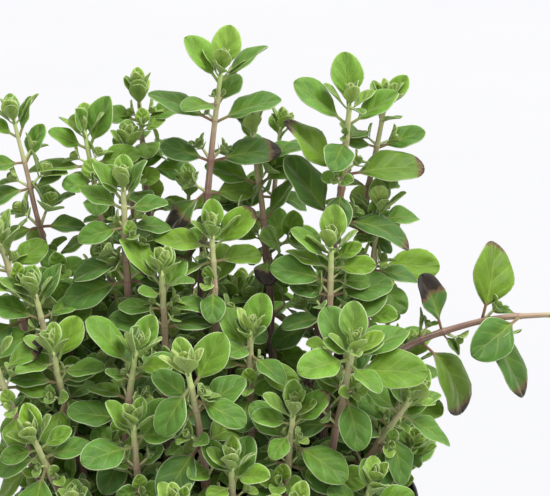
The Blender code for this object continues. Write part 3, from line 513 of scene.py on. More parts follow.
def leaf_point(leaf: Leaf) -> np.ndarray:
    """Where the leaf ends: the far end of an arc of its length that bends by its droop.

    Args:
        leaf: The leaf.

    Returns:
        The point.
    """
    run = leaf.length * np.sinc(leaf.droop / math.pi)
    fall = leaf.length * math.sin(leaf.droop / 2) * np.sinc(leaf.droop / 2 / math.pi)
    return leaf.root + run * leaf.onward - fall * leaf.upper


# ---------------------------------------------------------------- mesh building


def node_points(name: str) -> np.ndarray:
    """Reads the points of a node of the frame.

    Args:
        name: The node.

    Returns:
        Its points, in millimetres.
    """
    mesh = bpy.data.objects[name].data
    points = np.empty(len(mesh.vertices) * 3, np.float32)
    mesh.vertices.foreach_get("co", points)
    return points.reshape(-1, 3).astype(float) / MM


class MeshStock:
    """Points, faces and surface notes that are gathered and then made into one piece.

    A surface note is an attribute with one row of numbers for each point. Points that were added without a note
    have zeros in it.
    """

    def __init__(self) -> None:
        """Starts with nothing."""
        self.points: list[np.ndarray] = []
        self.faces: list[list[int]] = []
        self.finish: list[np.ndarray] = []
        self.notes: dict[str, list[tuple[int, np.ndarray]]] = {}
        self.total = 0

    def add(self, points: np.ndarray, faces: Sequence[np.ndarray], finish: int = 0, **notes: np.ndarray) -> None:
        """Adds a part.

        Args:
            points: Its points, one to a row, in millimetres.
            faces: Arrays of faces, each with rows of the same number of corners.
            finish: The number of its material on the piece.
            **notes: Its surface notes, with three or four numbers to a row.
        """
        for group in faces:
            self.faces += (group + self.total).tolist()
            self.finish.append(np.full(len(group), finish))
        for name, values in notes.items():
            self.notes.setdefault(name, []).append((self.total, values))
        self.points.append(points)
        self.total += len(points)

    def make(self, name: str, finishes: Sequence[bpy.types.Material], smooth: bool = True) -> bpy.types.Object:
        """Makes the piece, rides it on the plant and gives it its materials.

        Args:
            name: Its name.
            finishes: Its materials.
            smooth: Whether its faces are shaded as one curved surface.

        Returns:
            The piece.
        """
        mesh = bpy.data.meshes.new(name)
        mesh.from_pydata((np.concatenate(self.points) * MM).tolist(), [], self.faces)
        mesh.polygons.foreach_set("material_index", np.concatenate(self.finish).astype(np.int32))
        mesh.polygons.foreach_set("use_smooth", np.full(len(self.faces), smooth))
        for note, parts in self.notes.items():
            wide = parts[0][1].shape[1]
            rows = np.zeros((self.total, wide), np.float32)
            for start, values in parts:
                rows[start : start + len(values)] = values
            kind, entry = ("FLOAT_VECTOR", "vector") if wide == 3 else ("FLOAT_COLOR", "color")
            mesh.attributes.new(note, kind, "POINT").data.foreach_set(entry, rows.ravel())
        for finish in finishes:
            mesh.materials.append(finish)
        mesh.update()
        piece = bpy.data.objects.new(name, mesh)
        bpy.context.scene.collection.objects.link(piece)
        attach(piece, "root")
        return piece


def tube_faces(tubes: int, rings: int, around: int) -> list[np.ndarray]:
    """The faces of closed tubes whose points are stored tube by tube and ring by ring, then one point for each end.

    Args:
        tubes: How many tubes there are.
        rings: Rings in each.
        around: Points in each ring, anticlockwise about the way the tube runs.

    Returns:
        The quads, and the triangles of the two ends.
    """
    size = rings * around + 2
    start = (np.arange(tubes) * size)[:, None]
    here = np.arange(around)[None, :]
    beside = (here + 1) % around
    ring = start[:, None] + (np.arange(rings - 1) * around)[None, :, None]
    quads = np.stack([ring + here, ring + beside, ring + beside + around, ring + here + around], axis=-1)
    last = start + (rings - 1) * around
    foot, tip = (np.broadcast_to(start + size - back, (tubes, around)) for back in (2, 1))
    low = np.stack([start + beside, start + here, foot], axis=-1)
    high = np.stack([last + here, last + beside, tip], axis=-1)
    return [quads.reshape(-1, 4), low.reshape(-1, 3), high.reshape(-1, 3)]


def carried_ring(line: np.ndarray, radius: np.ndarray, side: np.ndarray, beside: np.ndarray) -> np.ndarray:
    """Rings about a line: its point, plus the radius times the cosine of the angle one way and its sine the other.

    Args:
        line: The points along the tube.
        radius: How far out each ring's points are, with one number for each point round it.
        side: For each point of the line, the way at which the angle is 0.
        beside: The way at which it is a quarter turn.

    Returns:
        The rings' points, with one more axis than the line.
    """
    angle = 2 * np.pi * np.arange(radius.shape[-1]) / radius.shape[-1]
    ring = (radius * np.cos(angle))[..., None] * side[..., None, :]
    return line[..., None, :] + ring + (radius * np.sin(angle))[..., None] * beside[..., None, :]


class LeafGrid(Enum):
    """How finely a leaf is made: points around it, then its rings as shares of the blade."""

    GROWN = (20, (0.0, 0.06, 0.13, 0.21, 0.30, 0.40, 0.50), (15, 30, 45, 58, 70, 81))
    YOUNG = (12, (0.0, 0.12, 0.28, 0.45), (20, 42, 62, 79))
    TINY = (8, (0.0, 0.2, 0.42), (28, 56, 79))


@dataclass(frozen=True)
class LeafForm:
    """What every leaf has in common, in millimetres and shares of its length."""

    widest: float = 0.46
    fuller: float = 1.07
    swell: float = 0.86
    blunt: float = 1.9
    stalk_half: float = 0.46
    stalk_thick: float = 0.40
    blade_thick: float = 0.17
    full_grown: float = 13.0
    roll: float = 0.62
    twist: float = 0.9

    def blade_shares(self, grid: LeafGrid) -> np.ndarray:
        """The rings' places along the blade. Below 0 is the stalk, and past the widest place they close up
        towards the tip as a circle's points do.

        Args:
            grid: How finely the leaf is made.

        Returns:
            Shares of the blade's length.
        """
        _, low, high = grid.value
        top = self.widest + (1 - self.widest) * np.sin(np.radians(high))
        stalk = (-0.25, -0.13, -0.05) if grid is LeafGrid.GROWN else (-0.25, -0.08)
        return np.concatenate([stalk, low, top])

    def half_width(self, blade: np.ndarray, width: np.ndarray, stalk: np.ndarray) -> np.ndarray:
        """Half the leaf's width along it.

        A power of a quarter sine swells from the stalk to the widest place, and a superellipse closes the tip.
        The blade is a little fuller than the frame's, whose outline cuts across the curve. The stalk's own
        width is added at right angles, so that the two blend.

        Args:
            blade: Places along the blade.
            width: The leaf's width.
            stalk: The size of its stalk.

        Returns:
            The half widths, in millimetres.
        """
        swell = np.sin(np.pi / 2 * np.clip(blade / self.widest, 0, 1)) ** self.swell
        close = np.clip((blade - self.widest) / (1 - self.widest), 0, 1)
        swell = np.where(blade < self.widest, swell, (1 - close**self.blunt) ** (1 / self.blunt))
        stem = stalk * self.stalk_half / 0.5 * np.sqrt(np.clip(1 - blade, 0, 1))
        return np.hypot(self.fuller * width / 2 * swell, stem)

    def sweep(self, leaves: Sequence[Leaf], grid: LeafGrid) -> tuple[np.ndarray, list[np.ndarray], dict]:
        """Closed leaf bodies, each a lens-shaped section carried along an arc.

        Along the leaf the centreline is an arc that bends by its droop, and the blade twists evenly about it.
        Across it the height is the fold times the distance from the midrib less a share of its square, so the
        halves stand up from the midrib and roll over. The cup times the square of that distance is added, and
        a slow wave along the margin. The thickness is a sine round the section, which closes at the margin.

        Args:
            leaves: The leaves to make.
            grid: How finely to make them.

        Returns:
            The points, the faces and the surface notes "blade" and "growth".
        """
        around = grid.value[0]
        blade = self.blade_shares(grid)
        share = RULE.petiole_share + (1 - RULE.petiole_share) * blade
        root, onward, upper = (np.array([leaf[index] for leaf in leaves]) for index in range(3))
        length, width, droop, age, burn, chance, fold, cup, wave, stalk = (
            np.array([leaf[index] for leaf in leaves], float)[:, None] for index in range(3, 13)
        )
        bend = droop * share
        run = length * share * np.sinc(bend / np.pi)
        fall = length * share * np.sin(bend / 2) * np.sinc(bend / 2 / np.pi)
        centre = root[:, None] + run[..., None] * onward[:, None] - fall[..., None] * upper[:, None]
        up = np.cos(bend)[..., None] * upper[:, None] + np.sin(bend)[..., None] * onward[:, None]
        ahead = np.cos(bend)[..., None] * onward[:, None] - np.sin(bend)[..., None] * upper[:, None]
        side = np.cross(up, ahead)
        twist = (self.twist * (chance - 0.5) * np.clip(blade, 0, 1))[..., None]
        side, up = np.cos(twist) * side + np.sin(twist) * up, np.cos(twist) * up - np.sin(twist) * side
        scale = np.clip(length / self.full_grown, 0.3, 1)
        half = self.half_width(blade[None], width, stalk * scale)
        body = smooth_step(blade, -0.02, 0.22)
        thick = scale * (self.blade_thick + (self.stalk_thick * stalk / 0.5 - self.blade_thick) * (1 - body))
        angle = 2 * np.pi * np.arange(around) / around
        across, rise = np.cos(angle), np.sin(angle)
        half3, thick3 = half[..., None], thick[..., None]
        far = np.abs(across)
        bell = (np.sin(np.pi * np.clip(blade, 0, 1)) * body)[None, :, None]
        ripple = np.sin(2 * np.pi * (1.35 * blade[None, :, None] + 3 * chance[..., None] + 0.22 * np.sign(across)))
        shape = fold[..., None] * (far - self.roll * far**2) + cup[..., None] * far**2
        lift = half3 * (shape * body[None, :, None] + wave[..., None] * far**2 * ripple * bell) + thick3 * rise
        points = centre[:, :, None] + (half3 * across)[..., None] * side[:, :, None] + lift[..., None] * up[:, :, None]
        count, rings = len(leaves), len(blade)
        tip = np.array([leaf_point(leaf) for leaf in leaves])
        points = np.concatenate([points.reshape(count, -1, 3), centre[:, :1], tip[:, None]], axis=1)
        notes = np.zeros((count, rings * around + 2, 3))
        notes[:, :-2, 0] = np.repeat(blade, around)[None]
        notes[:, :-2, 1] = np.tile(across, rings)[None]
        notes[:, :-2, 2] = np.repeat(half, around, axis=1)
        notes[:, -2, 0], notes[:, -1, 0] = blade[0], 1.0
        under = np.where(rise > 1e-6, 0.0, np.where(rise < -1e-6, 1.0, 0.5))
        growth = np.zeros((count, rings * around + 2, 4))
        growth[..., 0], growth[..., 1], growth[..., 2] = age, burn, chance
        growth[:, :-2, 3] = np.tile(under, rings)[None]
        growth[:, -1, 3] = 0.5
        return (
            points.reshape(-1, 3),
            tube_faces(count, rings, around),
            {"blade": notes.reshape(-1, 3), "growth": growth.reshape(-1, 4)},
        )


FORM = LeafForm()

# How much of a leaf's blade has withered from its tip, by shoot, pair below the tip, and first or second leaf
BURNS: dict[tuple[int, int, int], float] = {
    (17, 5, 1): 0.18, (17, 6, 1): 0.55, (16, 4, 2): 0.10, (16, 4, 1): 0.06, (16, 5, 2): 0.55, (16, 6, 1): 0.08,
    (12, 2, 1): 0.07, (11, 3, 1): 0.07, (14, 5, 1): 0.12, (22, 6, 2): 0.50, (18, 6, 1): 0.42, (18, 7, 1): 0.14,
    (18, 5, 2): 0.12, (18, 5, 1): 0.04, (30, 2, 1): 0.30, (2, 2, 1): 0.06, (3, 5, 1): 0.2,
}  # fmt: skip


@dataclass
class LeafyShoot:
    """One shoot: its square stem, its leaves in opposite pairs, the small tufts in their axils and its bud."""

    number: int
    shoot: Shoot
    stem_around: int = 16
    ring_step: float = 1.8
    node_swell: float = 0.20
    node_length: float = 0.9
    # how far below the tip a leaf is no longer young, and how near a point of the frame a leaf's end has to be
    young_reach: float = 7.0
    near_enough: float = 0.05
    seed: int = 4100
    # a leaf this long gets the finest grid, and one no longer than this the coarsest
    grown_length: float = 10.5
    tiny_length: float = 4.6
    # the pot that the side shoots keep clear of: the radius inside its wall and the height of its lip
    pot_mouth: float = 56.5
    pot_lip: float = 100.0
    # the bud's pairs: how far below the tip each one stands, its length and its rise
    bud: tuple[Triple, ...] = ((2.4, 9.2, 40.0), (1.3, 8.0, 53.0), (0.2, 6.4, 65.0), (-0.7, 4.8, 76.0))
    bud_broad: float = 0.84
    # the share of axils with a side shoot, and the ranges of its lean, its length and its leaves' growth
    side_share: float = 0.80
    side_lean: tuple[float, float] = (30.0, 58.0)
    side_length: tuple[float, float] = (2.5, 8.5)
    side_growth: tuple[float, float] = (2.6, 7.0)
    side_leaf: float = 4.0
    # a side shoot's stem looks as the main one does this far below its tip, at its foot and at its own tip
    twig_looks: tuple[float, float] = (12.0, 2.0)
    # its pairs from the lowest: their place along it, whether they cross the stem's way, their rise, size and
    # curl, and the shortest side shoot that has them
    side_pairs: tuple[tuple[float, bool, float, float, float, float], ...] = (
        (0.45, False, 16.0, 1.0, 22.0, 7.0),
        (0.72, True, 26.0, 1.0, 14.0, 2.5),
        (0.96, False, 46.0, 0.8, 6.0, 0.0),
        (1.0, True, 66.0, 0.5, -14.0, 0.0),
    )
    # how much the side shoots fill out the plant, and how fresh the bud is, where a shoot differs
    fullness: dict[int, float] = field(default_factory=lambda: {
        15: 0.7, 16: 0.7, 17: 0.7, 18: 1.1, 21: 1.2, 22: 1.3, 23: 1.35, 24: 1.4, 25: 1.35, 26: 1.4, 27: 1.4, 28: 1.3,
        29: 1.3,
    })  # fmt: skip
    freshness: dict[int, float] = field(default_factory=lambda: {3: 0.0, 9: 0.4})
    course: Course = field(init=False)
    pairs: tuple[Pair, ...] = field(init=False)
    luck: np.random.Generator = field(init=False)

    def __post_init__(self) -> None:
        """Works out the stem's line and the pairs, and starts the draws of luck."""
        self.course = Course(self.shoot)
        self.pairs = pairs_of(self.shoot, self.number, self.course)
        self.luck = np.random.default_rng(self.seed + self.number)

    @property
    def node(self) -> str:
        """The frame's node for this shoot."""
        return f"shoot_{self.number + 1:02d}"

    def age_at(self, reach: float) -> float:
        """How old a leaf looks this far below the tip: it rises steeply at first and then levels off."""
        return float(np.clip(0.16 + 0.74 * (1 - math.exp(-reach / 13.0)) + 0.05 * self.luck.normal(), 0, 1))

    def placed(self, pair: Pair, second: bool, ends: np.ndarray) -> Leaf | None:
        """The leaf as the frame holds it, found by the way to grow that ends on one of the frame's points.

        Args:
            pair: The pair that the leaf belongs to.
            second: Whether it is the second of the pair.
            ends: The points of the frame's node.

        Returns:
            The leaf, or None where the frame has none.
        """
        for change in RULE.yields:
            leaf = leaf_of(self.course, pair, second, change, self.shoot.girth)
            if np.min(np.linalg.norm(ends - leaf_point(leaf), axis=1)) < self.near_enough:
                return leaf
        return None

    def dressed(self, leaf: Leaf, order: int, pair: Pair, second: bool) -> Leaf:
        """The leaf with its age, luck and shape.

        Args:
            leaf: The bare leaf.
            order: Its pair's order below the tip.
            pair: Its pair.
            second: Whether it is the second of the pair.

        Returns:
            The leaf: young ones fold and cup more, and wave less.
        """
        age = self.age_at(pair.reach)
        young = max(0.0, 1 - pair.reach / self.young_reach)
        return leaf._replace(
            age=age,
            burn=BURNS.get((self.number + 1, order + 1, 2 if second else 1), 0.0),
            chance=float(self.luck.random()),
            fold=0.56 + 0.30 * float(self.luck.random()) + 0.10 * young,
            cup=0.16 * young - 0.16 * float(self.luck.random()) * (1 - young),
            wave=(0.05 + 0.10 * float(self.luck.random())) * (1 - 0.6 * young),
        )

    def grown_leaves(self) -> list[Leaf]:
        """The leaves that the frame holds, dressed.

        Returns:
            The leaves, from the tip down.
        """
        ends = node_points(self.node)
        found = []
        for order, pair in enumerate(self.pairs):
            for second in (False, True):
                leaf = self.placed(pair, second, ends)
                if leaf is not None:
                    found.append(self.dressed(leaf, order, pair, second))
        return found

    def sprig(self, foot: np.ndarray, along: np.ndarray, outward: np.ndarray, rise: float, length: float,
              age: float, curl: float, broad: float = 1.0) -> Leaf:  # fmt: skip
        """A small leaf of a bud or a side shoot.

        Args:
            foot: Where it grows from.
            along: The way the shoot runs.
            outward: The way the leaf leaves it, square to the shoot.
            rise: How far it stands up from that, in degrees.
            length: Its length.
            age: Its age, from 0 to 1.
            curl: How far it bends back, in degrees. Below 0 it closes over the bud.
            broad: How broad it is for its length, beside a side shoot's leaf.

        Returns:
            The leaf, with its face to the shoot.
        """
        climb = math.radians(rise)
        onward = unit(math.cos(climb) * outward + math.sin(climb) * along)
        upper = unit(math.cos(climb) * along - math.sin(climb) * outward)
        small = min(1.0, length / 9.0)
        return Leaf(
            foot, onward, upper, length, broad * length * (0.86 - 0.18 * small), math.radians(curl), age, 0.0,
            float(self.luck.random()), 0.46, 0.30 - 0.16 * small, 0.05, 0.42,
        )  # fmt: skip

    def bud_leaves(self) -> list[Leaf]:
        """Crossed pairs of cupped leaves that close over each other above the last grown pair.

        Returns:
            The leaves, from the outermost pair in.
        """
        found = []
        size = min(1.0, self.shoot.size + 0.1)
        turn = self.pairs[0].heading + 90
        fresh = self.freshness.get(self.number, 1.0)
        for order, (below, length, rise) in enumerate(self.bud):
            for side in (0, 180):
                heading = math.radians(turn + 90 * order + side + 9 * float(self.luck.normal()))
                outward = self.course.outward(below, heading)
                foot = self.course.point(below) + 0.35 * outward
                long = length * size * (1 + 0.10 * float(self.luck.normal()))
                lean = rise + 4 * float(self.luck.normal())
                age = fresh * (0.20 - 0.045 * order)
                curl = -3.0 - 6.0 * order
                along = self.course.tangent(below)
                found.append(self.sprig(foot, along, outward, lean, long, age, curl, self.bud_broad))
        return found

    def clear_of_pot(self, points: np.ndarray, margin: float) -> bool:
        """Whether all of these points stand above the pot's lip or inside its wall, with this margin."""
        beyond = np.hypot(points[:, 0], points[:, 1]) > self.pot_mouth - margin
        return not bool(np.any(beyond & (points[:, 2] < self.pot_lip + margin)))

    def side_shoots(self) -> tuple[list[Leaf], list[tuple[np.ndarray, np.ndarray, float]]]:
        """Short shoots that stand in the leaf axils, with crossed pairs that get smaller to their tip.

        Returns:
            Their leaves, and for each its foot, its tip and its thickness.
        """
        leaves, twigs = [], []
        full = self.fullness.get(self.number, 1.3 if self.shoot.base[1] > 5 else 1.0)
        lowest = self.pairs[-1]
        basal = lowest._replace(reach=min(lowest.reach + 10, self.course.length - 7), heading=lowest.heading + 90)
        for pair in (*self.pairs, basal):
            if pair.reach < 9:
                continue
            for side in (0, 180):
                if self.luck.random() > self.side_share:
                    continue
                outward = self.course.outward(pair.reach, math.radians(pair.heading + side))
                along = self.course.tangent(pair.reach)
                lean = math.radians(float(self.luck.uniform(*self.side_lean)))
                axis = unit(math.cos(lean) * outward + math.sin(lean) * along)
                ripe = min(1.0, (pair.reach - 6) / 26)
                long = full * ripe * float(self.luck.uniform(*self.side_length))
                blade = full * (self.side_leaf + ripe * float(self.luck.uniform(*self.side_growth)))
                half = float(self.course.half_width(pair.reach, self.shoot.girth))
                foot = self.course.point(pair.reach - 0.7) + 0.6 * half * outward
                tip = foot + (long + 1.0) * axis
                if not self.clear_of_pot(np.linspace(foot, tip, 4), 0.8):
                    continue
                aside = unit(np.cross(axis, outward))
                within = np.cross(aside, axis)
                twigs.append((foot, tip, 0.34 + 0.16 * ripe))
                age = 0.26 + 0.20 * ripe + 0.08 * float(self.luck.random())
                for rank, (place, crossed, rise, share, curl, shortest) in enumerate(self.side_pairs):
                    if long < shortest:
                        continue
                    at, away = foot + place * (tip - foot), aside if crossed else within
                    fresh = max(0.1, age - 0.10 * rank)
                    for sign in (1, -1):
                        rise_here = rise + 7 * float(self.luck.normal())
                        leaf = self.sprig(at, axis, sign * away, rise_here, blade * share, fresh, curl)
                        if self.clear_of_pot(np.linspace(leaf.root, leaf_point(leaf), 6), 0.4 * leaf.width):
                            leaves.append(leaf)
        return leaves, twigs

    def twig_tubes(self, twigs: list[tuple[np.ndarray, np.ndarray, float]]) -> tuple[np.ndarray, list, np.ndarray]:
        """The side shoots' stems: straight tubes, a little thinner towards the tip.

        Args:
            twigs: The foot, the tip and the thickness of each.

        Returns:
            The points, the faces and the surface note "stem".
        """
        count, rings, around = len(twigs), 6, 8
        foot, tip = np.array([twig[0] for twig in twigs]), np.array([twig[1] for twig in twigs])
        thick = np.array([twig[2] for twig in twigs])[:, None, None]
        axis = unit(tip - foot)
        side = unit(np.cross(axis, np.array([0.3, 0.2, 1.0])))
        beside = np.cross(axis, side)
        share = np.linspace(0, 1, rings)
        line = foot[:, None] + share[None, :, None] * (tip - foot)[:, None]
        radius = thick * (1.1 - 0.35 * share)[None, :, None] * np.ones(around)
        points = carried_ring(line, radius, side[:, None], beside[:, None]).reshape(count, -1, 3)
        points = np.concatenate([points, foot[:, None], tip[:, None]], axis=1)
        note = np.zeros((count, rings * around + 2, 3))
        note[:, :-2, 0] = np.repeat(np.interp(share, (0, 1), self.twig_looks), around)
        note[:, :-2, 1] = np.tile(np.abs(2 * np.arange(around) / around - 1), rings)
        note[:, -2, 0] = self.twig_looks[0]
        return points.reshape(-1, 3), tube_faces(count, rings, around), note.reshape(-1, 3)

    def stem_levels(self) -> np.ndarray:
        """Where the stem gets its rings, closer together at the nodes.

        Returns:
            Distances below the tip, from the foot up.
        """
        reaches = np.array([pair.reach for pair in self.pairs])
        even = np.arange(-0.9, self.course.length, self.ring_step)
        near = (reaches[:, None] + np.array([-1.2, -0.6, 0.0, 0.6, 1.2])).ravel()
        levels = np.sort(np.concatenate([even, near[near > 0.1], [self.course.length]]))
        return levels[np.concatenate([[True], np.diff(levels) > 0.25])][::-1]

    def stem(self) -> tuple[np.ndarray, list[np.ndarray], np.ndarray]:
        """The stem as one closed tube.

        Its section is a square with rounded corners and slightly hollow sides: the radius is a constant less a
        cosine of four times the angle. It turns with the headings of the pairs, swells at each node as a bell
        curve of the distance from it, and wanders a little as a slow sine.

        Returns:
            The points, the faces and the surface note "stem".
        """
        below = self.stem_levels()
        reaches = np.array([pair.reach for pair in self.pairs])
        headings = np.array([pair.heading for pair in self.pairs])
        turned = np.unwrap(np.radians(headings % 90) * 4) / 4
        heading = np.interp(below, reaches, turned)
        centre, along = self.course.point(below), self.course.tangent(below)
        first = self.course.outward(below, heading)
        beside = np.cross(along, first)
        nearness = np.exp(-(((below[:, None] - reaches) / self.node_length) ** 2)).sum(axis=1)
        half = self.course.half_width(below, self.shoot.girth) * (1 + self.node_swell * nearness)
        half = half * np.clip((below + 1.8) / 3.4, 0.3, 1.0)
        angle = 2 * np.pi * np.arange(self.stem_around) / self.stem_around
        radius = half[:, None] * (1.0 - 0.07 * np.cos(4 * angle))
        sway = 0.14 * np.sin(below / 4.1 + self.number) * np.clip(below / 20, 0, 1)
        centre = centre + sway[:, None] * first
        points = carried_ring(centre, radius, first, beside)
        rings = len(below)
        note = np.zeros((rings * self.stem_around + 2, 3))
        note[:-2, 0] = np.repeat(below, self.stem_around)
        note[:-2, 1] = np.tile(np.abs(angle / np.pi - 1), rings)
        note[:-2, 2] = np.repeat(np.clip(nearness, 0, 1), self.stem_around)
        note[-2, 0] = below[0]
        ends = np.stack([centre[0], centre[-1] + 0.3 * along[-1]])
        return np.concatenate([points.reshape(-1, 3), ends]), tube_faces(1, rings, self.stem_around), note

    def build(self, leaf_finish: bpy.types.Material, stem_finish: bpy.types.Material) -> bpy.types.Object:
        """Makes the shoot in place of the frame's node.

        Args:
            leaf_finish: The leaves' material.
            stem_finish: The stems' material.

        Returns:
            The piece.
        """
        stock = MeshStock()
        grown = self.grown_leaves()
        side_leaves, twigs = self.side_shoots()
        small = self.bud_leaves() + side_leaves
        long = [leaf for leaf in grown if leaf.length >= self.grown_length]
        middling = [leaf for leaf in grown if leaf.length < self.grown_length]
        middling += [leaf for leaf in small if leaf.length > self.tiny_length]
        tiny = [leaf for leaf in small if leaf.length <= self.tiny_length]
        groups = ((LeafGrid.GROWN, long), (LeafGrid.YOUNG, middling), (LeafGrid.TINY, tiny))
        for grid, leaves in groups:
            if leaves:
                points, faces, notes = FORM.sweep(leaves, grid)
                stock.add(points, faces, 0, **notes)
        for points, faces, note in (self.stem(), self.twig_tubes(twigs)):
            stock.add(points, faces, 1, stem=note)
        piece = stock.make(f"leafy_{self.node}", (leaf_finish, stem_finish))
        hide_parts(self.node)
        log.info("%s: %d grown leaves, %d small ones", piece.name, len(grown), len(small))
        return piece


@dataclass
class NurseryPot:
    """A plain moulded pot with a rim band, a foot ring and drain holes, in millimetres."""

    rim: float = 60.0
    body_top: float = 57.5
    foot: float = 43.0
    height: float = 100.0
    band: float = 8.0
    wall: float = 1.2
    recess: float = 3.0
    steps: int = 144
    holes: int = 8
    hole_radius: float = 4.0
    hole_circle: float = 26.0
    drill: tuple[float, float] = (-3.0, 9.0)
    drill_steps: int = 24

    def inner(self, height: float) -> float:
        """The inside of the wall at this height."""
        return self.foot - self.wall + (self.body_top - self.foot) * height / (self.height - self.band)

    def profile(self) -> np.ndarray:
        """The wall's outline, from the middle of the floor up the inside, over the rolled lip and down the outside
        to the middle of the base.

        Returns:
            A radius and a height to a row.
        """
        low = self.height - self.band
        floor = self.recess + self.wall
        return np.array(
            [
                (0, self.wall), (13.0, self.wall), (13.6, self.wall + 0.3), (14.6, floor - 0.3), (15.2, floor),
                (38.6, floor), (39.2, floor - 0.3), (40.4, self.wall + 0.4), (41.0, self.wall),
                (self.inner(1.2) - 0.7, self.wall), (self.inner(1.9), 1.9), (self.inner(30), 30), (self.inner(60), 60),
                (self.inner(low) - 0.1, low - 0.3), (self.inner(low) + 0.3, low + 0.3),
                (self.rim - self.wall - 0.3, low + self.wall), (self.rim - self.wall, low + self.wall + 0.4),
                (self.rim - self.wall, self.height - 0.55), (self.rim - 1.05, self.height - 0.2),
                (self.rim - 0.75, self.height), (self.rim - 0.35, self.height), (self.rim - 0.08, self.height - 0.2),
                (self.rim, self.height - 0.5), (self.rim, low + 0.5), (self.rim - 0.15, low + 0.15),
                (self.rim - 0.5, low), (self.body_top + 0.25, low - 0.02), (self.body_top, low - 0.25),
                (self.body_top - 4.72, 62), (self.body_top - 9.45, 32), (self.foot + 0.22, 1.4), (self.foot, 0.5),
                (self.foot - 0.25, 0.12), (self.foot - 0.7, 0.0), (40.4, 0.0), (39.9, 0.25), (38.7, self.recess - 0.3),
                (38.0, self.recess), (15.8, self.recess), (15.2, self.recess - 0.3), (14.4, 0.3), (13.8, 0.0), (0, 0),
            ],
            float,
        )  # fmt: skip

    def shell(self) -> tuple[np.ndarray, list[np.ndarray]]:
        """The profile turned about the pot's axis: each point keeps its height and goes round a circle.

        Returns:
            The points and the faces.
        """
        profile = self.profile()[::-1]
        angle = 2 * np.pi * np.arange(self.steps) / self.steps
        ring = profile[1:-1]
        points = np.stack(
            [
                ring[:, :1] * np.cos(angle),
                ring[:, :1] * np.sin(angle),
                np.broadcast_to(ring[:, 1:], (len(ring), self.steps)),
            ],
            axis=-1,
        ).reshape(-1, 3)
        ends = np.array([[0, 0, profile[0][1]], [0, 0, profile[-1][1]]])
        return np.concatenate([points, ends]), tube_faces(1, len(ring), self.steps)

    def drills(self) -> bpy.types.Object:
        """The cylinders that cut the drain holes.

        Returns:
            One piece with all of them.
        """
        stock = MeshStock()
        angle = 2 * np.pi * np.arange(self.drill_steps) / self.drill_steps
        turn = 2 * np.pi * (np.arange(self.holes) + 0.5) / self.holes
        middle = self.hole_circle * np.stack([np.cos(turn), np.sin(turn)], axis=-1)
        ring = self.hole_radius * np.stack([np.cos(angle), np.sin(angle)], axis=-1)
        shape = (self.holes, 2, self.drill_steps)
        flat = middle[:, None, None] + np.broadcast_to(ring, (*shape, 2))
        height = np.broadcast_to(np.array(self.drill)[None, :, None, None], (*shape, 1))
        rings = np.concatenate([flat, height], axis=-1).reshape(self.holes, -1, 3)
        caps = np.stack([np.column_stack([middle, np.full(self.holes, z)]) for z in self.drill], axis=1)
        stock.add(np.concatenate([rings, caps], axis=1).reshape(-1, 3), tube_faces(*shape))
        return stock.make("drills", ())

    def build(self, finish: bpy.types.Material) -> bpy.types.Object:
        """Makes the pot in place of the frame's node.

        Args:
            finish: Its material.

        Returns:
            The pot, with its holes cut.
        """
        stock = MeshStock()
        points, faces = self.shell()
        stock.add(points, faces)
        pot = stock.make("nursery_pot", (finish,))
        drills = self.drills()
        cut = pot.modifiers.new("drained", "BOOLEAN")
        cut.operation, cut.solver, cut.object = "DIFFERENCE", "EXACT", drills
        cut_mesh = bpy.data.meshes.new_from_object(pot.evaluated_get(bpy.context.evaluated_depsgraph_get()))
        pot.modifiers.clear()
        pot.data = cut_mesh
        bpy.data.objects.remove(drills, do_unlink=True)
        pot.data.set_sharp_from_angle(angle=math.radians(50))
        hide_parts("pot")
        log.info("%s: %d faces", pot.name, len(pot.data.polygons))
        return pot


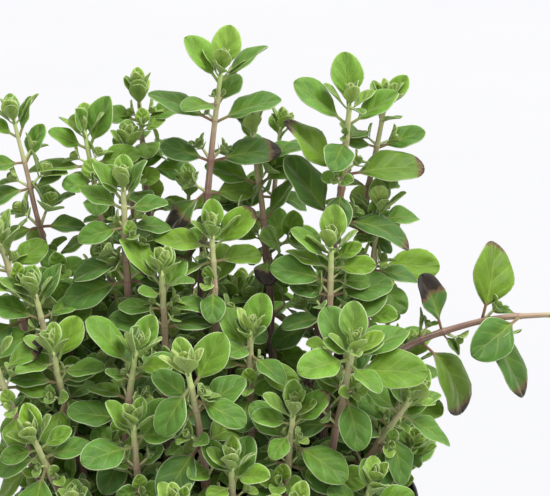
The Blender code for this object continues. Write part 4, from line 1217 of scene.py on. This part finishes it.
@dataclass
class CompostFill:
    """The compost in the pot: an uneven bed, loose crumbs on it, and fibres of peat and bark, in millimetres."""

    pot: NurseryPot
    top: float = 89.0
    gap: float = 0.4
    rings: int = 46
    steps: int = 120
    crumbs: int = 1150
    crumb_size: tuple[float, float] = (0.5, 1.9)
    fibres: int = 130
    fibre_length: tuple[float, float] = (4.0, 15.0)
    fibre_half: tuple[float, float] = (0.12, 0.34)
    seed: int = 77

    def height(self, x: np.ndarray, y: np.ndarray) -> np.ndarray:
        """The bed's height: its level plus sines of several slants and lengths, from 30 mm hollows to 3 mm lumps.

        Args:
            x: Places across.
            y: Places along.

        Returns:
            The heights there.
        """
        waves = ((30.0, 0.7, 0.45), (17.0, 2.1, 0.35), (9.0, 4.0, 0.25), (5.2, 5.5, 0.22), (3.1, 1.3, 0.14))
        rise = np.zeros_like(x)
        for length, slant, height in waves:
            here = 2 * np.pi / length
            rise = rise + height * np.sin(here * (x * math.cos(slant) + y * math.sin(slant)) + 3 * slant)
            rise = rise + height * np.sin(here * 0.83 * (x * math.sin(slant * 2) - y * math.cos(slant * 2)) + slant)
        return self.top + 0.75 * rise - 0.4

    def bed(self) -> tuple[np.ndarray, list[np.ndarray]]:
        """A closed body: rings of the uneven top from the middle out, then down the wall to the floor.

        Returns:
            The points and the faces.
        """
        wall = self.pot.inner(self.top - 2) - self.gap
        radius = wall * np.linspace(0.02, 1, self.rings)
        angle = 2 * np.pi * np.arange(self.steps) / self.steps
        x, y = radius[:, None] * np.cos(angle), radius[:, None] * np.sin(angle)
        settle = smooth_step(radius / wall, 1.0, 0.93)[:, None]
        z = self.top - 1.2 + (self.height(x, y) - self.top + 1.2) * settle
        under = np.array([(self.pot.inner(5) - self.gap, 4.7), (15.0, 4.7), (12.6, 1.7), (4.0, 1.7)])
        low = np.stack(
            [under[:, :1] * np.cos(angle), under[:, :1] * np.sin(angle), np.repeat(under[:, 1:], self.steps, axis=1)],
            axis=-1,
        )
        points = np.concatenate([np.stack([x, y, z], axis=-1), low])[::-1].reshape(-1, 3)
        ends = np.array([[0, 0, 1.7], [0, 0, float(self.height(np.zeros(1), np.zeros(1))[0])]])
        return np.concatenate([points, ends]), tube_faces(1, self.rings + len(under), self.steps)

    def scattered(self, luck: np.random.Generator, count: int) -> np.ndarray:
        """Points spread evenly over the bed.

        Args:
            luck: Where the chances come from.
            count: How many points.

        Returns:
            The points.
        """
        radius = (self.pot.inner(self.top) - 2.2) * np.sqrt(luck.random(count))
        angle = 2 * np.pi * luck.random(count)
        x, y = radius * np.cos(angle), radius * np.sin(angle)
        return np.stack([x, y, self.height(x, y)], axis=-1)

    def crumb_field(self) -> tuple[np.ndarray, list[np.ndarray], np.ndarray]:
        """Closed lumps of four rings of seven points: a ball whose every point is pushed in or out by chance,
        stretched differently three ways and turned at random.

        Returns:
            The points, the faces and the surface note "luck".
        """
        luck = np.random.default_rng(self.seed)
        lat = np.radians([-58, -22, 14, 50])
        lon = 2 * np.pi * np.arange(7) / 7
        ball = np.stack(
            [
                np.cos(lat)[:, None] * np.cos(lon),
                np.cos(lat)[:, None] * np.sin(lon),
                np.repeat(np.sin(lat)[:, None], 7, axis=1),
            ],
            axis=-1,
        ).reshape(-1, 3)
        ball = np.concatenate([ball, [[0, 0, -1.0], [0, 0, 1.0]]])
        rough = ball * (1 + 0.34 * (luck.random((self.crumbs, len(ball), 1)) - 0.5))
        small, large = self.crumb_size
        size = small * (large / small) ** (luck.random((self.crumbs, 1, 1)) ** 1.6)
        stretch = luck.uniform(0.65, 1.35, (self.crumbs, 1, 3))
        axes = np.linalg.qr(luck.normal(size=(self.crumbs, 3, 3)))[0]
        axes = axes * np.sign(np.linalg.det(axes))[:, None, None]
        lumps = np.einsum("nij,npj->npi", axes, rough * stretch * size)
        place = self.scattered(luck, self.crumbs)
        place[:, 2] += 0.25 * size[:, 0, 0]
        note = np.repeat(np.stack([luck.random(self.crumbs)] * 3, axis=-1), len(ball), axis=0)
        return (place[:, None] + lumps).reshape(-1, 3), tube_faces(self.crumbs, 4, 7), note

    def fibre_field(self) -> tuple[np.ndarray, list[np.ndarray], np.ndarray]:
        """Thin tubes that lie over the crumbs: each runs along a bent line that rises and falls with the bed.

        Returns:
            The points, the faces and the surface note "luck".
        """
        luck = np.random.default_rng(self.seed + 1)
        rings, around = 8, 5
        place = self.scattered(luck, self.fibres)
        place[:, :2] *= 0.9
        heading = 2 * np.pi * luck.random(self.fibres)[:, None]
        share = np.linspace(-0.5, 0.5, rings)
        length = luck.uniform(*self.fibre_length, (self.fibres, 1))
        bend = luck.normal(0, 1.0, (self.fibres, 1))
        turned = heading + bend * share
        step = length / (rings - 1)
        x = place[:, :1] + np.cumsum(step * np.cos(turned), axis=1)
        y = place[:, 1:2] + np.cumsum(step * np.sin(turned), axis=1)
        hold = np.minimum(1, (self.pot.inner(self.top) - 2.5) / np.maximum(np.hypot(x, y), 1e-6))
        x, y = x * hold, y * hold
        z = self.height(x, y) + 0.7 + 0.7 * np.sin(9 * share + 5 * bend)
        line = np.stack([x, y, z], axis=-1)
        along = unit(np.gradient(line, axis=1))
        side = unit(np.cross(along, np.array([0, 0, 1.0])))
        up = np.cross(side, along)
        thick = luck.uniform(*self.fibre_half, (self.fibres, 1, 1)) * (1.15 - 1.1 * np.abs(share))[None, :, None]
        points = carried_ring(line, thick * np.ones(around), up, side).reshape(self.fibres, -1, 3)
        points = np.concatenate([points, line[:, :1], line[:, -1:]], axis=1)
        note = np.repeat(np.stack([luck.random(self.fibres)] * 3, axis=-1), rings * around + 2, axis=0)
        return points.reshape(-1, 3), tube_faces(self.fibres, rings, around), note

    def build(self, bed_finish: bpy.types.Material, crumb_finish: bpy.types.Material) -> list[bpy.types.Object]:
        """Makes the bed in place of the frame's root ball, and what lies on it.

        Args:
            bed_finish: The bed's material.
            crumb_finish: The material of the crumbs and fibres.

        Returns:
            The bed, the crumbs and the fibres.
        """
        made = []
        for name, part, finish in (
            ("compost_bed", self.bed(), bed_finish),
            ("compost_crumbs", self.crumb_field(), crumb_finish),
            ("compost_fibres", self.fibre_field(), crumb_finish),
        ):
            stock = MeshStock()
            points, faces, *note = part
            stock.add(points, faces, 0, **({"luck": note[0]} if note else {}))
            piece = stock.make(name, (finish,), smooth=name != "compost_crumbs")
            log.info("%s: %d faces", name, len(piece.data.polygons))
            made.append(piece)
        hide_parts("root_ball")
        return made


# ---------------------------------------------------------------- finishes


def linear(colour: str) -> tuple[float, float, float, float]:
    """Turns a colour to linear light.

    Args:
        colour: A hex sRGB colour.

    Returns:
        Red, green, blue and a full alpha.
    """
    parts = [int(colour[index : index + 2], 16) / 255 for index in (1, 3, 5)]
    red, green, blue = (part / 12.92 if part <= 0.04045 else ((part + 0.055) / 1.055) ** 2.4 for part in parts)
    return red, green, blue, 1.0


def add_node(tree: bpy.types.NodeTree, kind: str, inputs: dict[Any, Any], out: Any = 0, **settings: Any) -> Any:
    """Adds a node with its settings and links.

    Args:
        tree: The material's nodes.
        kind: The node's type, without the ShaderNode that starts every one.
        inputs: For each socket, by name or number, a value, a hex colour or the output that feeds it.
        out: The output that is wanted, by name or number, or None for the node itself.
        **settings: The node's own settings. "stops" is a ramp's places and hex colours.

    Returns:
        The output, or the node.
    """
    node = tree.nodes.new("ShaderNode" + kind)
    for name, value in settings.items():
        if name == "stops":
            ramp = node.color_ramp.elements
            while len(ramp) < len(value):
                ramp.new(0.5)
            for element, (place, colour) in zip(ramp, value):
                element.position, element.color = place, linear(colour)
        else:
            setattr(node, name, value)
    for socket, value in inputs.items():
        if isinstance(value, bpy.types.NodeSocket):
            tree.links.new(value, node.inputs[socket])
        else:
            node.inputs[socket].default_value = linear(value) if isinstance(value, str) else value
    return node if out is None else node.outputs[out]


# a mix of colours rather than numbers, one that multiplies them, and a range that eases in and out
RGBA = {"out": 2, "data_type": "RGBA"}
TIMES = {**RGBA, "blend_type": "MULTIPLY"}
SMOOTH = {"interpolation_type": "SMOOTHSTEP"}


def new_finish(name: str) -> tuple[bpy.types.Material, Any]:
    """Starts a material.

    Args:
        name: Its name.

    Returns:
        The empty material, and the function that adds a node to it.
    """
    material = bpy.data.materials.new(name)
    material.use_nodes = True
    material.node_tree.nodes.clear()
    return material, partial(add_node, material.node_tree)


@dataclass(frozen=True)
class LivingLeaf:
    """A marjoram leaf: grown, thin and covered in a short down.

    The down takes the shine off the blade. The pale line along its margin is partly the down's own colour and partly
    a painted rim highlight. The blade is thin enough to glow yellow-green with light behind it. The youngest leaves
    are the palest and the oldest greyest and darkest, their darkness partly painted shade for their place low in the
    plant.
    """

    # blade colours from the bud to the oldest leaf; the older ones, low in the plant, are darkened partly as painted
    # shade
    ages: tuple[tuple[float, str], ...] = (
        (0.0, "#cbdc80"), (0.12, "#9cbd50"), (0.30, "#739f33"), (0.52, "#5d8a2a"), (0.76, "#4d752b"),
        (1.0, "#46672e"),
    )  # fmt: skip
    yellowed: str = "#7f9f1c"
    blued: str = "#436e33"
    heart: str = "#86a820"
    midrib: str = "#a6bd64"
    # the margin's pale line, partly a painted rim highlight
    margin: str = "#ced9ad"
    under_ages: tuple[tuple[float, str], ...] = ((0.0, "#bcd270"), (0.4, "#93ad5c"), (1.0, "#7f9466"))
    withered_edge: str = "#70543a"
    withered: str = "#2a1f1b"
    stalk_ages: tuple[tuple[float, str], ...] = ((0.25, "#a3bd6c"), (0.6, "#a58f6a"), (0.9, "#946459"))
    glow: str = "#b9d42c"
    glow_share: float = 0.36
    glow_tint: float = 0.66
    veins: float = 6.0
    vein_share: float = 0.24
    margin_highlight_mm: float = 0.37
    midrib_mm: float = 0.34
    mottle_mm: float = 2.6
    # the hairs are a tenth of this apart, and are drawn as coarse as they need to be to show
    down_mm: float = 0.30
    ragged_mm: float = 1.111
    relief_mm: float = 0.55
    roughness: tuple[float, float] = (0.44, 0.62)
    specular: float = 0.36
    sheen: float = 0.7
    sheen_roughness: float = 0.36
    sheen_tint: str = "#e2ecbf"

    def build(self) -> bpy.types.Material:
        """Makes the material, which reads the blade and growth notes of a leaf.

        Returns:
            The material.
        """
        material, node = new_finish("living_leaf")
        blade = node("Attribute", {}, "Vector", attribute_name="blade")
        growth = node("Attribute", {}, None, attribute_name="growth")
        along, across, half = node("SeparateXYZ", {0: blade}, None).outputs
        age, burn, chance = node("SeparateColor", {0: growth.outputs["Color"]}, None).outputs
        under = growth.outputs["Alpha"]
        where = node("TexCoord", {}, "Object")

        far = node("Math", {0: across}, operation="ABSOLUTE")
        near = node("Math", {0: 1.0, 1: far}, operation="SUBTRACT")
        rib_mm = node("Math", {0: far, 1: half}, operation="MULTIPLY")
        edge_mm = node("Math", {0: near, 1: half}, operation="MULTIPLY")

        # age, whose dark old end is partly painted shade, and each leaf's own lean to yellow or to blue
        top = node("ValToRGB", {0: age}, stops=self.ages)
        lean = node("MapRange", {0: chance, 1: 0.62, 2: 1.0, 3: 0.0, 4: 0.55}, clamp=True)
        top = node("Mix", {0: lean, 6: top, 7: self.yellowed}, **RGBA)
        lean = node("MapRange", {0: chance, 1: 0.38, 2: 0.0, 3: 0.0, 4: 0.5}, clamp=True)
        top = node("Mix", {0: lean, 6: top, 7: self.blued}, **RGBA)

        # the blade is yellower along the lower midrib
        low = node("MapRange", {0: along, 1: 0.75, 2: 0.05, 3: 0.0, 4: 0.5}, **SMOOTH)
        inner = node("MapRange", {0: far, 1: 0.62, 2: 0.0, 3: 0.0, 4: 1.0}, **SMOOTH)
        share = node("Math", {0: low, 1: inner}, operation="MULTIPLY")
        top = node("Mix", {0: share, 6: top, 7: self.heart}, **RGBA)

        # underside, which is greyer
        back = node("ValToRGB", {0: age}, stops=self.under_ages)
        colour = node("Mix", {0: under, 6: top, 7: back}, **RGBA)

        # slow mottling, a few millimetres across
        mottle = node("TexNoise", {"Vector": where, "Scale": 1000 / self.mottle_mm, "Detail": 3.0})
        mottle = node("MapRange", {0: mottle, 1: 0.3, 2: 0.7, 3: 0.86, 4: 1.12})
        colour = node("Mix", {0: 1.0, 6: colour, 7: mottle}, **TIMES)

        # side veins: lines that leave the midrib and arch forwards
        bow = node("Math", {0: far, 1: 0.8}, operation="POWER")
        slant = node("Math", {0: bow, 1: -0.42, 2: along}, operation="MULTIPLY_ADD")
        beat = node("Math", {0: slant, 1: self.veins}, operation="MULTIPLY")
        beat = node("Math", {0: beat, 1: 1.0}, operation="PINGPONG")
        vein = node("MapRange", {0: beat, 1: 0.22, 2: 0.0, 3: 0.0, 4: 1.0}, **SMOOTH)
        fade = node("MapRange", {0: far, 1: 0.92, 2: 0.55, 3: 0.0, 4: 1.0}, **SMOOTH)
        vein = node("Math", {0: vein, 1: fade}, operation="MULTIPLY")
        faint = node("Math", {0: vein, 1: self.vein_share}, operation="MULTIPLY")
        colour = node("Mix", {0: faint, 6: colour, 7: self.midrib}, **RGBA)

        # painted shade and painted highlight: the blade is darkened along its midrib and lightened towards its margin
        pale = node("Math", {0: far, 1: 2.0}, operation="POWER")
        pale = node("MapRange", {0: pale, 1: 0.0, 2: 1.0, 3: 0.86, 4: 1.16})
        colour = node("Mix", {0: 1.0, 6: colour, 7: pale}, **TIMES)

        # midrib
        rib = node("MapRange", {0: rib_mm, 1: self.midrib_mm, 2: 0.08, 3: 0.0, 4: 1.0}, **SMOOTH)
        tail = node("MapRange", {0: along, 1: 0.98, 2: 0.3, 3: 0.08, 4: 0.42})
        rib = node("Math", {0: rib, 1: tail}, operation="MULTIPLY")
        colour = node("Mix", {0: rib, 6: colour, 7: self.midrib}, **RGBA)

        # pale downy margin: partly the down's own colour and partly a painted rim highlight
        rim = node("MapRange", {0: edge_mm, 1: self.margin_highlight_mm, 2: 0.1, 3: 0.0, 4: 0.86}, **SMOOTH)
        colour = node("Mix", {0: rim, 6: colour, 7: self.margin}, **RGBA)

        # stalk, which reddens with age
        stalk = node("ValToRGB", {0: age}, stops=self.stalk_ages)
        share = node("MapRange", {0: along, 1: 0.1, 2: -0.03, 3: 0.0, 4: 1.0}, **SMOOTH)
        colour = node("Mix", {0: share, 6: colour, 7: stalk}, **RGBA)

        # withered tips, with an uneven brown edge
        ragged = node("TexNoise", {"Vector": where, "Scale": 1000 / self.ragged_mm, "Detail": 3.0})
        front = node("Math", {0: ragged, 1: 0.22, 2: along}, operation="MULTIPLY_ADD")
        front = node("Math", {0: far, 1: 0.08, 2: front}, operation="MULTIPLY_ADD")
        front = node("Math", {0: front, 1: burn}, operation="ADD")
        has = node("Math", {0: burn, 1: 0.02}, operation="GREATER_THAN")
        for start, end, tint in ((1.04, 1.12, self.withered_edge), (1.10, 1.20, self.withered)):
            dead = node("MapRange", {0: front, 1: start, 2: end, 3: 0.0, 4: 1.0}, **SMOOTH)
            dead = node("Math", {0: dead, 1: has}, operation="MULTIPLY")
            colour = node("Mix", {0: dead, 6: colour, 7: tint}, **RGBA)

        # the down: a fine pale grain
        down = node("TexNoise", {"Vector": where, "Scale": 1000 / self.down_mm, "Detail": 2.0})
        grain = node("MapRange", {0: down, 1: 0.32, 2: 0.68, 3: 0.84, 4: 1.18})
        colour = node("Mix", {0: 1.0, 6: colour, 7: grain}, **TIMES)

        # relief: the blade swells between sunk veins and a sunk midrib, under the grain of the down
        quilt = node("Math", {0: beat, 1: fade}, operation="MULTIPLY")
        relief = node("Math", {0: down, 1: 0.35, 2: quilt}, operation="MULTIPLY_ADD")
        relief = node("Math", {0: rib, 1: -1.2, 2: relief}, operation="MULTIPLY_ADD")
        bump = node("Bump", {"Strength": 0.6, "Distance": self.relief_mm * MM, "Height": relief})
        rough = node("MapRange", {0: mottle, 1: 0.8, 2: 1.2, 3: self.roughness[0], 4: self.roughness[1]})
        shine = {"Specular IOR Level": self.specular, "Sheen Weight": self.sheen}
        shine |= {"Sheen Roughness": self.sheen_roughness, "Sheen Tint": self.sheen_tint}
        skin = node("BsdfPrincipled", {"Base Color": colour, "Roughness": rough, "Normal": bump, **shine})
        # light that comes through is yellower than the blade, and none comes through where it has withered
        lit = node("Mix", {0: self.glow_tint, 6: colour, 7: self.glow}, **RGBA)
        dark = node("Math", {0: dead, 1: -0.85, 2: 1.0}, operation="MULTIPLY_ADD")
        lit = node("Mix", {0: 1.0, 6: lit, 7: dark}, **TIMES)
        through = node("BsdfTranslucent", {"Color": lit})
        both = node("MixShader", {0: self.glow_share, 1: skin, 2: through})
        node("OutputMaterial", {0: both}, None)
        return material


@dataclass(frozen=True)
class SquareStem:
    """A young marjoram stem: green and downy near its tip, then pink-brown, then thin woody bark at its foot.

    The ridges of the square stem run as pale streaks, and each joint is a darker ring.
    """

    heights: tuple[tuple[float, str], ...] = (
        (0.0, "#a9bd70"), (0.08, "#a8a676"), (0.16, "#9c846c"), (0.28, "#805f54"), (0.50, "#634843"),
        (1.0, "#4e3b36"),
    )  # fmt: skip
    streak: str = "#cdbf9c"
    joint: str = "#6a4138"
    blotch: str = "#5a3634"
    length_mm: float = 110.0
    blotch_mm: float = 9.09
    relief_mm: float = 0.25
    roughness: tuple[float, float] = (0.5, 0.7)
    specular: float = 0.4
    sheen: float = 0.3
    sheen_roughness: float = 0.5
    sheen_tint: str = "#f0eedd"

    def build(self) -> bpy.types.Material:
        """Makes the material, which reads the stem note: millimetres below the tip, place round it and joints.

        Returns:
            The material.
        """
        material, node = new_finish("square_stem")
        note = node("Attribute", {}, "Vector", attribute_name="stem")
        below, round_it, joint = node("SeparateXYZ", {0: note}, None).outputs
        where = node("TexCoord", {}, "Object")
        share = node("Math", {0: below, 1: self.length_mm}, operation="DIVIDE")
        patch = node("TexNoise", {"Vector": where, "Scale": 1000 / self.blotch_mm, "Detail": 2.0})
        drift = node("Math", {0: patch, 1: 0.3, 2: -0.15}, operation="MULTIPLY_ADD")
        share = node("Math", {0: share, 1: drift}, operation="ADD")
        colour = node("ValToRGB", {0: share}, stops=self.heights)
        # streaks run along the stem: fine round it and long along it
        slow = node("Math", {0: below, 1: 0.06}, operation="MULTIPLY")
        quick = node("Math", {0: round_it, 1: 7.0}, operation="MULTIPLY")
        grain = node("CombineXYZ", {0: quick, 1: slow, 2: 0.0})
        streak = node("TexNoise", {"Vector": grain, "Scale": 1.6, "Detail": 3.0})
        pale = node("MapRange", {0: streak, 1: 0.5, 2: 0.68, 3: 0.0, 4: 0.42})
        colour = node("Mix", {0: pale, 6: colour, 7: self.streak}, **RGBA)
        dark = node("MapRange", {0: patch, 1: 0.56, 2: 0.72, 3: 0.0, 4: 0.45})
        old = node("MapRange", {0: below, 1: 18.0, 2: 60.0, 3: 0.0, 4: 1.0})
        dark = node("Math", {0: dark, 1: old}, operation="MULTIPLY")
        colour = node("Mix", {0: dark, 6: colour, 7: self.blotch}, **RGBA)
        ring = node("MapRange", {0: joint, 1: 0.72, 2: 1.0, 3: 0.0, 4: 0.6})
        aged = node("MapRange", {0: below, 1: 4.0, 2: 26.0, 3: 0.1, 4: 1.0})
        ring = node("Math", {0: ring, 1: aged}, operation="MULTIPLY")
        colour = node("Mix", {0: ring, 6: colour, 7: self.joint}, **RGBA)
        bump = node("Bump", {"Strength": 0.5, "Distance": self.relief_mm * MM, "Height": streak})
        rough = node("MapRange", {0: streak, 1: 0.3, 2: 0.7, 3: self.roughness[0], 4: self.roughness[1]})
        shine = {"Specular IOR Level": self.specular, "Sheen Weight": self.sheen}
        shine |= {"Sheen Roughness": self.sheen_roughness, "Sheen Tint": self.sheen_tint}
        skin = node("BsdfPrincipled", {"Base Color": colour, "Roughness": rough, "Normal": bump, **shine})
        node("OutputMaterial", {0: skin}, None)
        return material


@dataclass(frozen=True)
class MouldedPolypropylene:
    """Black recycled polypropylene, injection moulded: a satin skin with a fine spark texture and faint scuffs."""

    black: str = "#17181a"
    scuff: str = "#3b3c3e"
    dust: str = "#5a5048"
    # the spark texture is half as wide, and is drawn as coarse as it needs to be to show
    grain_mm: float = 0.45
    scuff_mm: float = 9.0
    speck_mm: float = 2.381
    dusty_mm: float = 20.0
    relief_mm: float = 0.12
    roughness: tuple[float, float] = (0.36, 0.5)
    ior: float = 1.49

    def build(self) -> bpy.types.Material:
        """Makes the material, with patterns on the piece's own coordinates.

        Returns:
            The material.
        """
        material, node = new_finish("moulded_polypropylene")
        where = node("TexCoord", {}, "Object")
        grain = node("TexNoise", {"Vector": where, "Scale": 1000 / self.grain_mm, "Detail": 2.0})
        rubbed = {"Scale": 1000 / self.scuff_mm, "Detail": 6.0, "Roughness": 0.65, "Distortion": 0.6}
        scuff = node("TexNoise", {"Vector": where, **rubbed})
        worn = node("MapRange", {0: scuff, 1: 0.52, 2: 0.78, 3: 0.0, 4: 0.3})
        colour = node("Mix", {0: worn, 6: self.black, 7: self.scuff}, **RGBA)
        # compost dust clings to the foot
        height = node("SeparateXYZ", {0: where}, out=2)
        foot = node("MapRange", {0: height, 1: self.dusty_mm * MM, 2: 0.0, 3: 0.0, 4: 0.5})
        speck = node("TexNoise", {"Vector": where, "Scale": 1000 / self.speck_mm, "Detail": 4.0, "Roughness": 0.7})
        speck = node("MapRange", {0: speck, 1: 0.54, 2: 0.66, 3: 0.0, 4: 1.0})
        dusty = node("Math", {0: foot, 1: speck}, operation="MULTIPLY")
        colour = node("Mix", {0: dusty, 6: colour, 7: self.dust}, **RGBA)
        rough = node("MapRange", {0: scuff, 1: 0.3, 2: 0.7, 3: self.roughness[0], 4: self.roughness[1]})
        bump = node("Bump", {"Strength": 0.25, "Distance": self.relief_mm * MM, "Height": grain})
        skin = node("BsdfPrincipled", {"Base Color": colour, "Roughness": rough, "IOR": self.ior, "Normal": bump})
        node("OutputMaterial", {0: skin}, None)
        return material


@dataclass(frozen=True)
class PeatCompost:
    """Damp peat and bark compost: matt, nearly black in its pores, with brown crumbs and straw-coloured fibres, and
    painted shade in its hollows.
    """

    pores: str = "#1d1410"
    peat: str = "#3f2c1f"
    bark: str = "#6d4d33"
    straw: str = "#a98a5e"
    crumb_mm: float = 1.6
    pore_mm: float = 0.6667
    bed_relief_mm: float = 0.9
    crumb_relief_mm: float = 0.3
    roughness: tuple[float, float] = (0.82, 0.98)
    specular: float = 0.3
    loose: bool = False

    def build(self) -> bpy.types.Material:
        """Makes the material. Loose crumbs and fibres vary by each one's own luck, and the bed by a pattern of grains.

        Returns:
            The material.
        """
        material, node = new_finish("peat_crumbs" if self.loose else "peat_bed")
        where = node("TexCoord", {}, "Object")
        grains = node("TexVoronoi", {"Vector": where, "Scale": 1000 / self.crumb_mm, "Randomness": 1.0}, out=None)
        fine = node("TexNoise", {"Vector": where, "Scale": 1000 / self.pore_mm, "Detail": 5.0, "Roughness": 0.7})
        if self.loose:
            luck = node("Attribute", {}, "Vector", attribute_name="luck")
            kind = node("SeparateXYZ", {0: luck})
        else:
            kind = node("SeparateColor", {0: grains.outputs["Color"]})
        colour = node(
            "ValToRGB", {0: kind}, stops=((0.0, self.pores), (0.45, self.peat), (0.8, self.bark), (0.97, self.straw))
        )
        # painted shade: the fine noise that raises the bump also darkens its hollows and lightens its high grains
        shade = node("MapRange", {0: fine, 1: 0.3, 2: 0.7, 3: 0.55, 4: 1.25})
        colour = node("Mix", {0: 1.0, 6: colour, 7: shade}, **TIMES)
        height = node("Math", {0: grains.outputs["Distance"], 1: -1.0, 2: fine}, operation="MULTIPLY_ADD")
        relief = (self.crumb_relief_mm if self.loose else self.bed_relief_mm) * MM
        bump = node("Bump", {"Strength": 0.9, "Distance": relief, "Height": height})
        rough = node("MapRange", {0: fine, 1: 0.3, 2: 0.7, 3: self.roughness[0], 4: self.roughness[1]})
        shine = {"Specular IOR Level": self.specular}
        skin = node("BsdfPrincipled", {"Base Color": colour, "Roughness": rough, "Normal": bump, **shine})
        node("OutputMaterial", {0: skin}, None)
        return material


@dataclass(frozen=True)
class PaintedBoard:
    """A studio table of matt pale board, with the faint unevenness of rolled paint."""

    white: str = "#adadae"
    shade: str = "#aaaaac"
    cloud_mm: float = 333.3
    roughness: float = 0.85

    def build(self) -> bpy.types.Material:
        """Makes the material.

        Returns:
            The material.
        """
        material, node = new_finish("painted_board")
        where = node("TexCoord", {}, "Object")
        cloud = node("TexNoise", {"Vector": where, "Scale": 1000 / self.cloud_mm, "Detail": 3.0})
        colour = node("Mix", {0: cloud, 6: self.white, 7: self.shade}, **RGBA)
        skin = node("BsdfPrincipled", {"Base Color": colour, "Roughness": self.roughness})
        node("OutputMaterial", {0: skin}, None)
        return material


# ---------------------------------------------------------------- studio


@dataclass
class Studio:
    """A pale table, an even pale surround, one soft light and the camera."""

    floor_radius: float = 30.0
    floor_sides: int = 96
    surround: float = 1.0
    surround_colour: str = "#fdfdff"
    silk_strength: float = 4.6
    silk_spread: float = 40.0
    silk_place: Triple = (0.45, -0.28, 1.0)
    aim: Triple = (0.017, 0.0, 0.176)
    distance: float = 0.55
    elevation: float = 15.0
    field_width: float = 0.29

    def lamp(self) -> None:
        """One very broad soft light from above, in front and to the right, as even as an overhead silk."""
        data = bpy.data.lights.new("silk", "SUN")
        data.energy, data.angle = self.silk_strength, math.radians(self.silk_spread)
        lamp = bpy.data.objects.new("silk", data)
        lamp.location = self.silk_place
        lamp.rotation_euler = Vector(self.silk_place).to_track_quat("Z", "Y").to_euler()
        bpy.context.scene.collection.objects.link(lamp)

    def floor(self) -> None:
        """A round table top at the height that the pot stands on."""
        angle = 2 * np.pi * np.arange(self.floor_sides) / self.floor_sides
        rim = np.stack([np.cos(angle), np.sin(angle), 0 * angle], axis=-1) * self.floor_radius
        mesh = bpy.data.meshes.new("table")
        mesh.from_pydata(rim.tolist(), [], [list(range(self.floor_sides))])
        mesh.materials.append(PaintedBoard().build())
        table = bpy.data.objects.new("table", mesh)
        bpy.context.scene.collection.objects.link(table)

    def camera(self) -> None:
        """Looks along +Y and down by the elevation at the middle of the plant."""
        data = bpy.data.cameras.new("camera")
        data.sensor_width = 36.0
        data.lens = 36.0 / self.field_width
        data.clip_start, data.clip_end = 0.01, 60.0
        camera = bpy.data.objects.new("camera", data)
        tilt = math.radians(self.elevation)
        back = Vector((0, -math.cos(tilt), math.sin(tilt)))
        camera.location = Vector(self.aim) + self.distance * back
        camera.rotation_euler = (math.pi / 2 - tilt, 0, 0)
        bpy.context.scene.collection.objects.link(camera)
        bpy.context.scene.camera = camera

    def build(self) -> None:
        """Sets the table, the surround, the lamps and the camera."""
        scene = bpy.context.scene
        scene.view_settings.view_transform = "Standard"
        world = bpy.data.worlds.new("surround")
        world.use_nodes = True
        light = world.node_tree.nodes["Background"]
        light.inputs["Color"].default_value = linear(self.surround_colour)
        light.inputs["Strength"].default_value = self.surround
        scene.world = world
        self.floor()
        self.lamp()
        self.camera()
        log.info("studio set")


def main() -> None:
    """Builds the studio, the pot, the compost and the shoots."""
    logging.basicConfig(level=logging.INFO, format="%(name)s: %(message)s")
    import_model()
    Studio().build()
    pot = NurseryPot()
    pot.build(MouldedPolypropylene().build())
    CompostFill(pot).build(PeatCompost().build(), PeatCompost(loose=True).build())
    leaf, stem = LivingLeaf().build(), SquareStem().build()
    for number, shoot in enumerate(SHOOTS):
        LeafyShoot(number, shoot).build(leaf, stem)


if __name__ == "__main__":
    main()
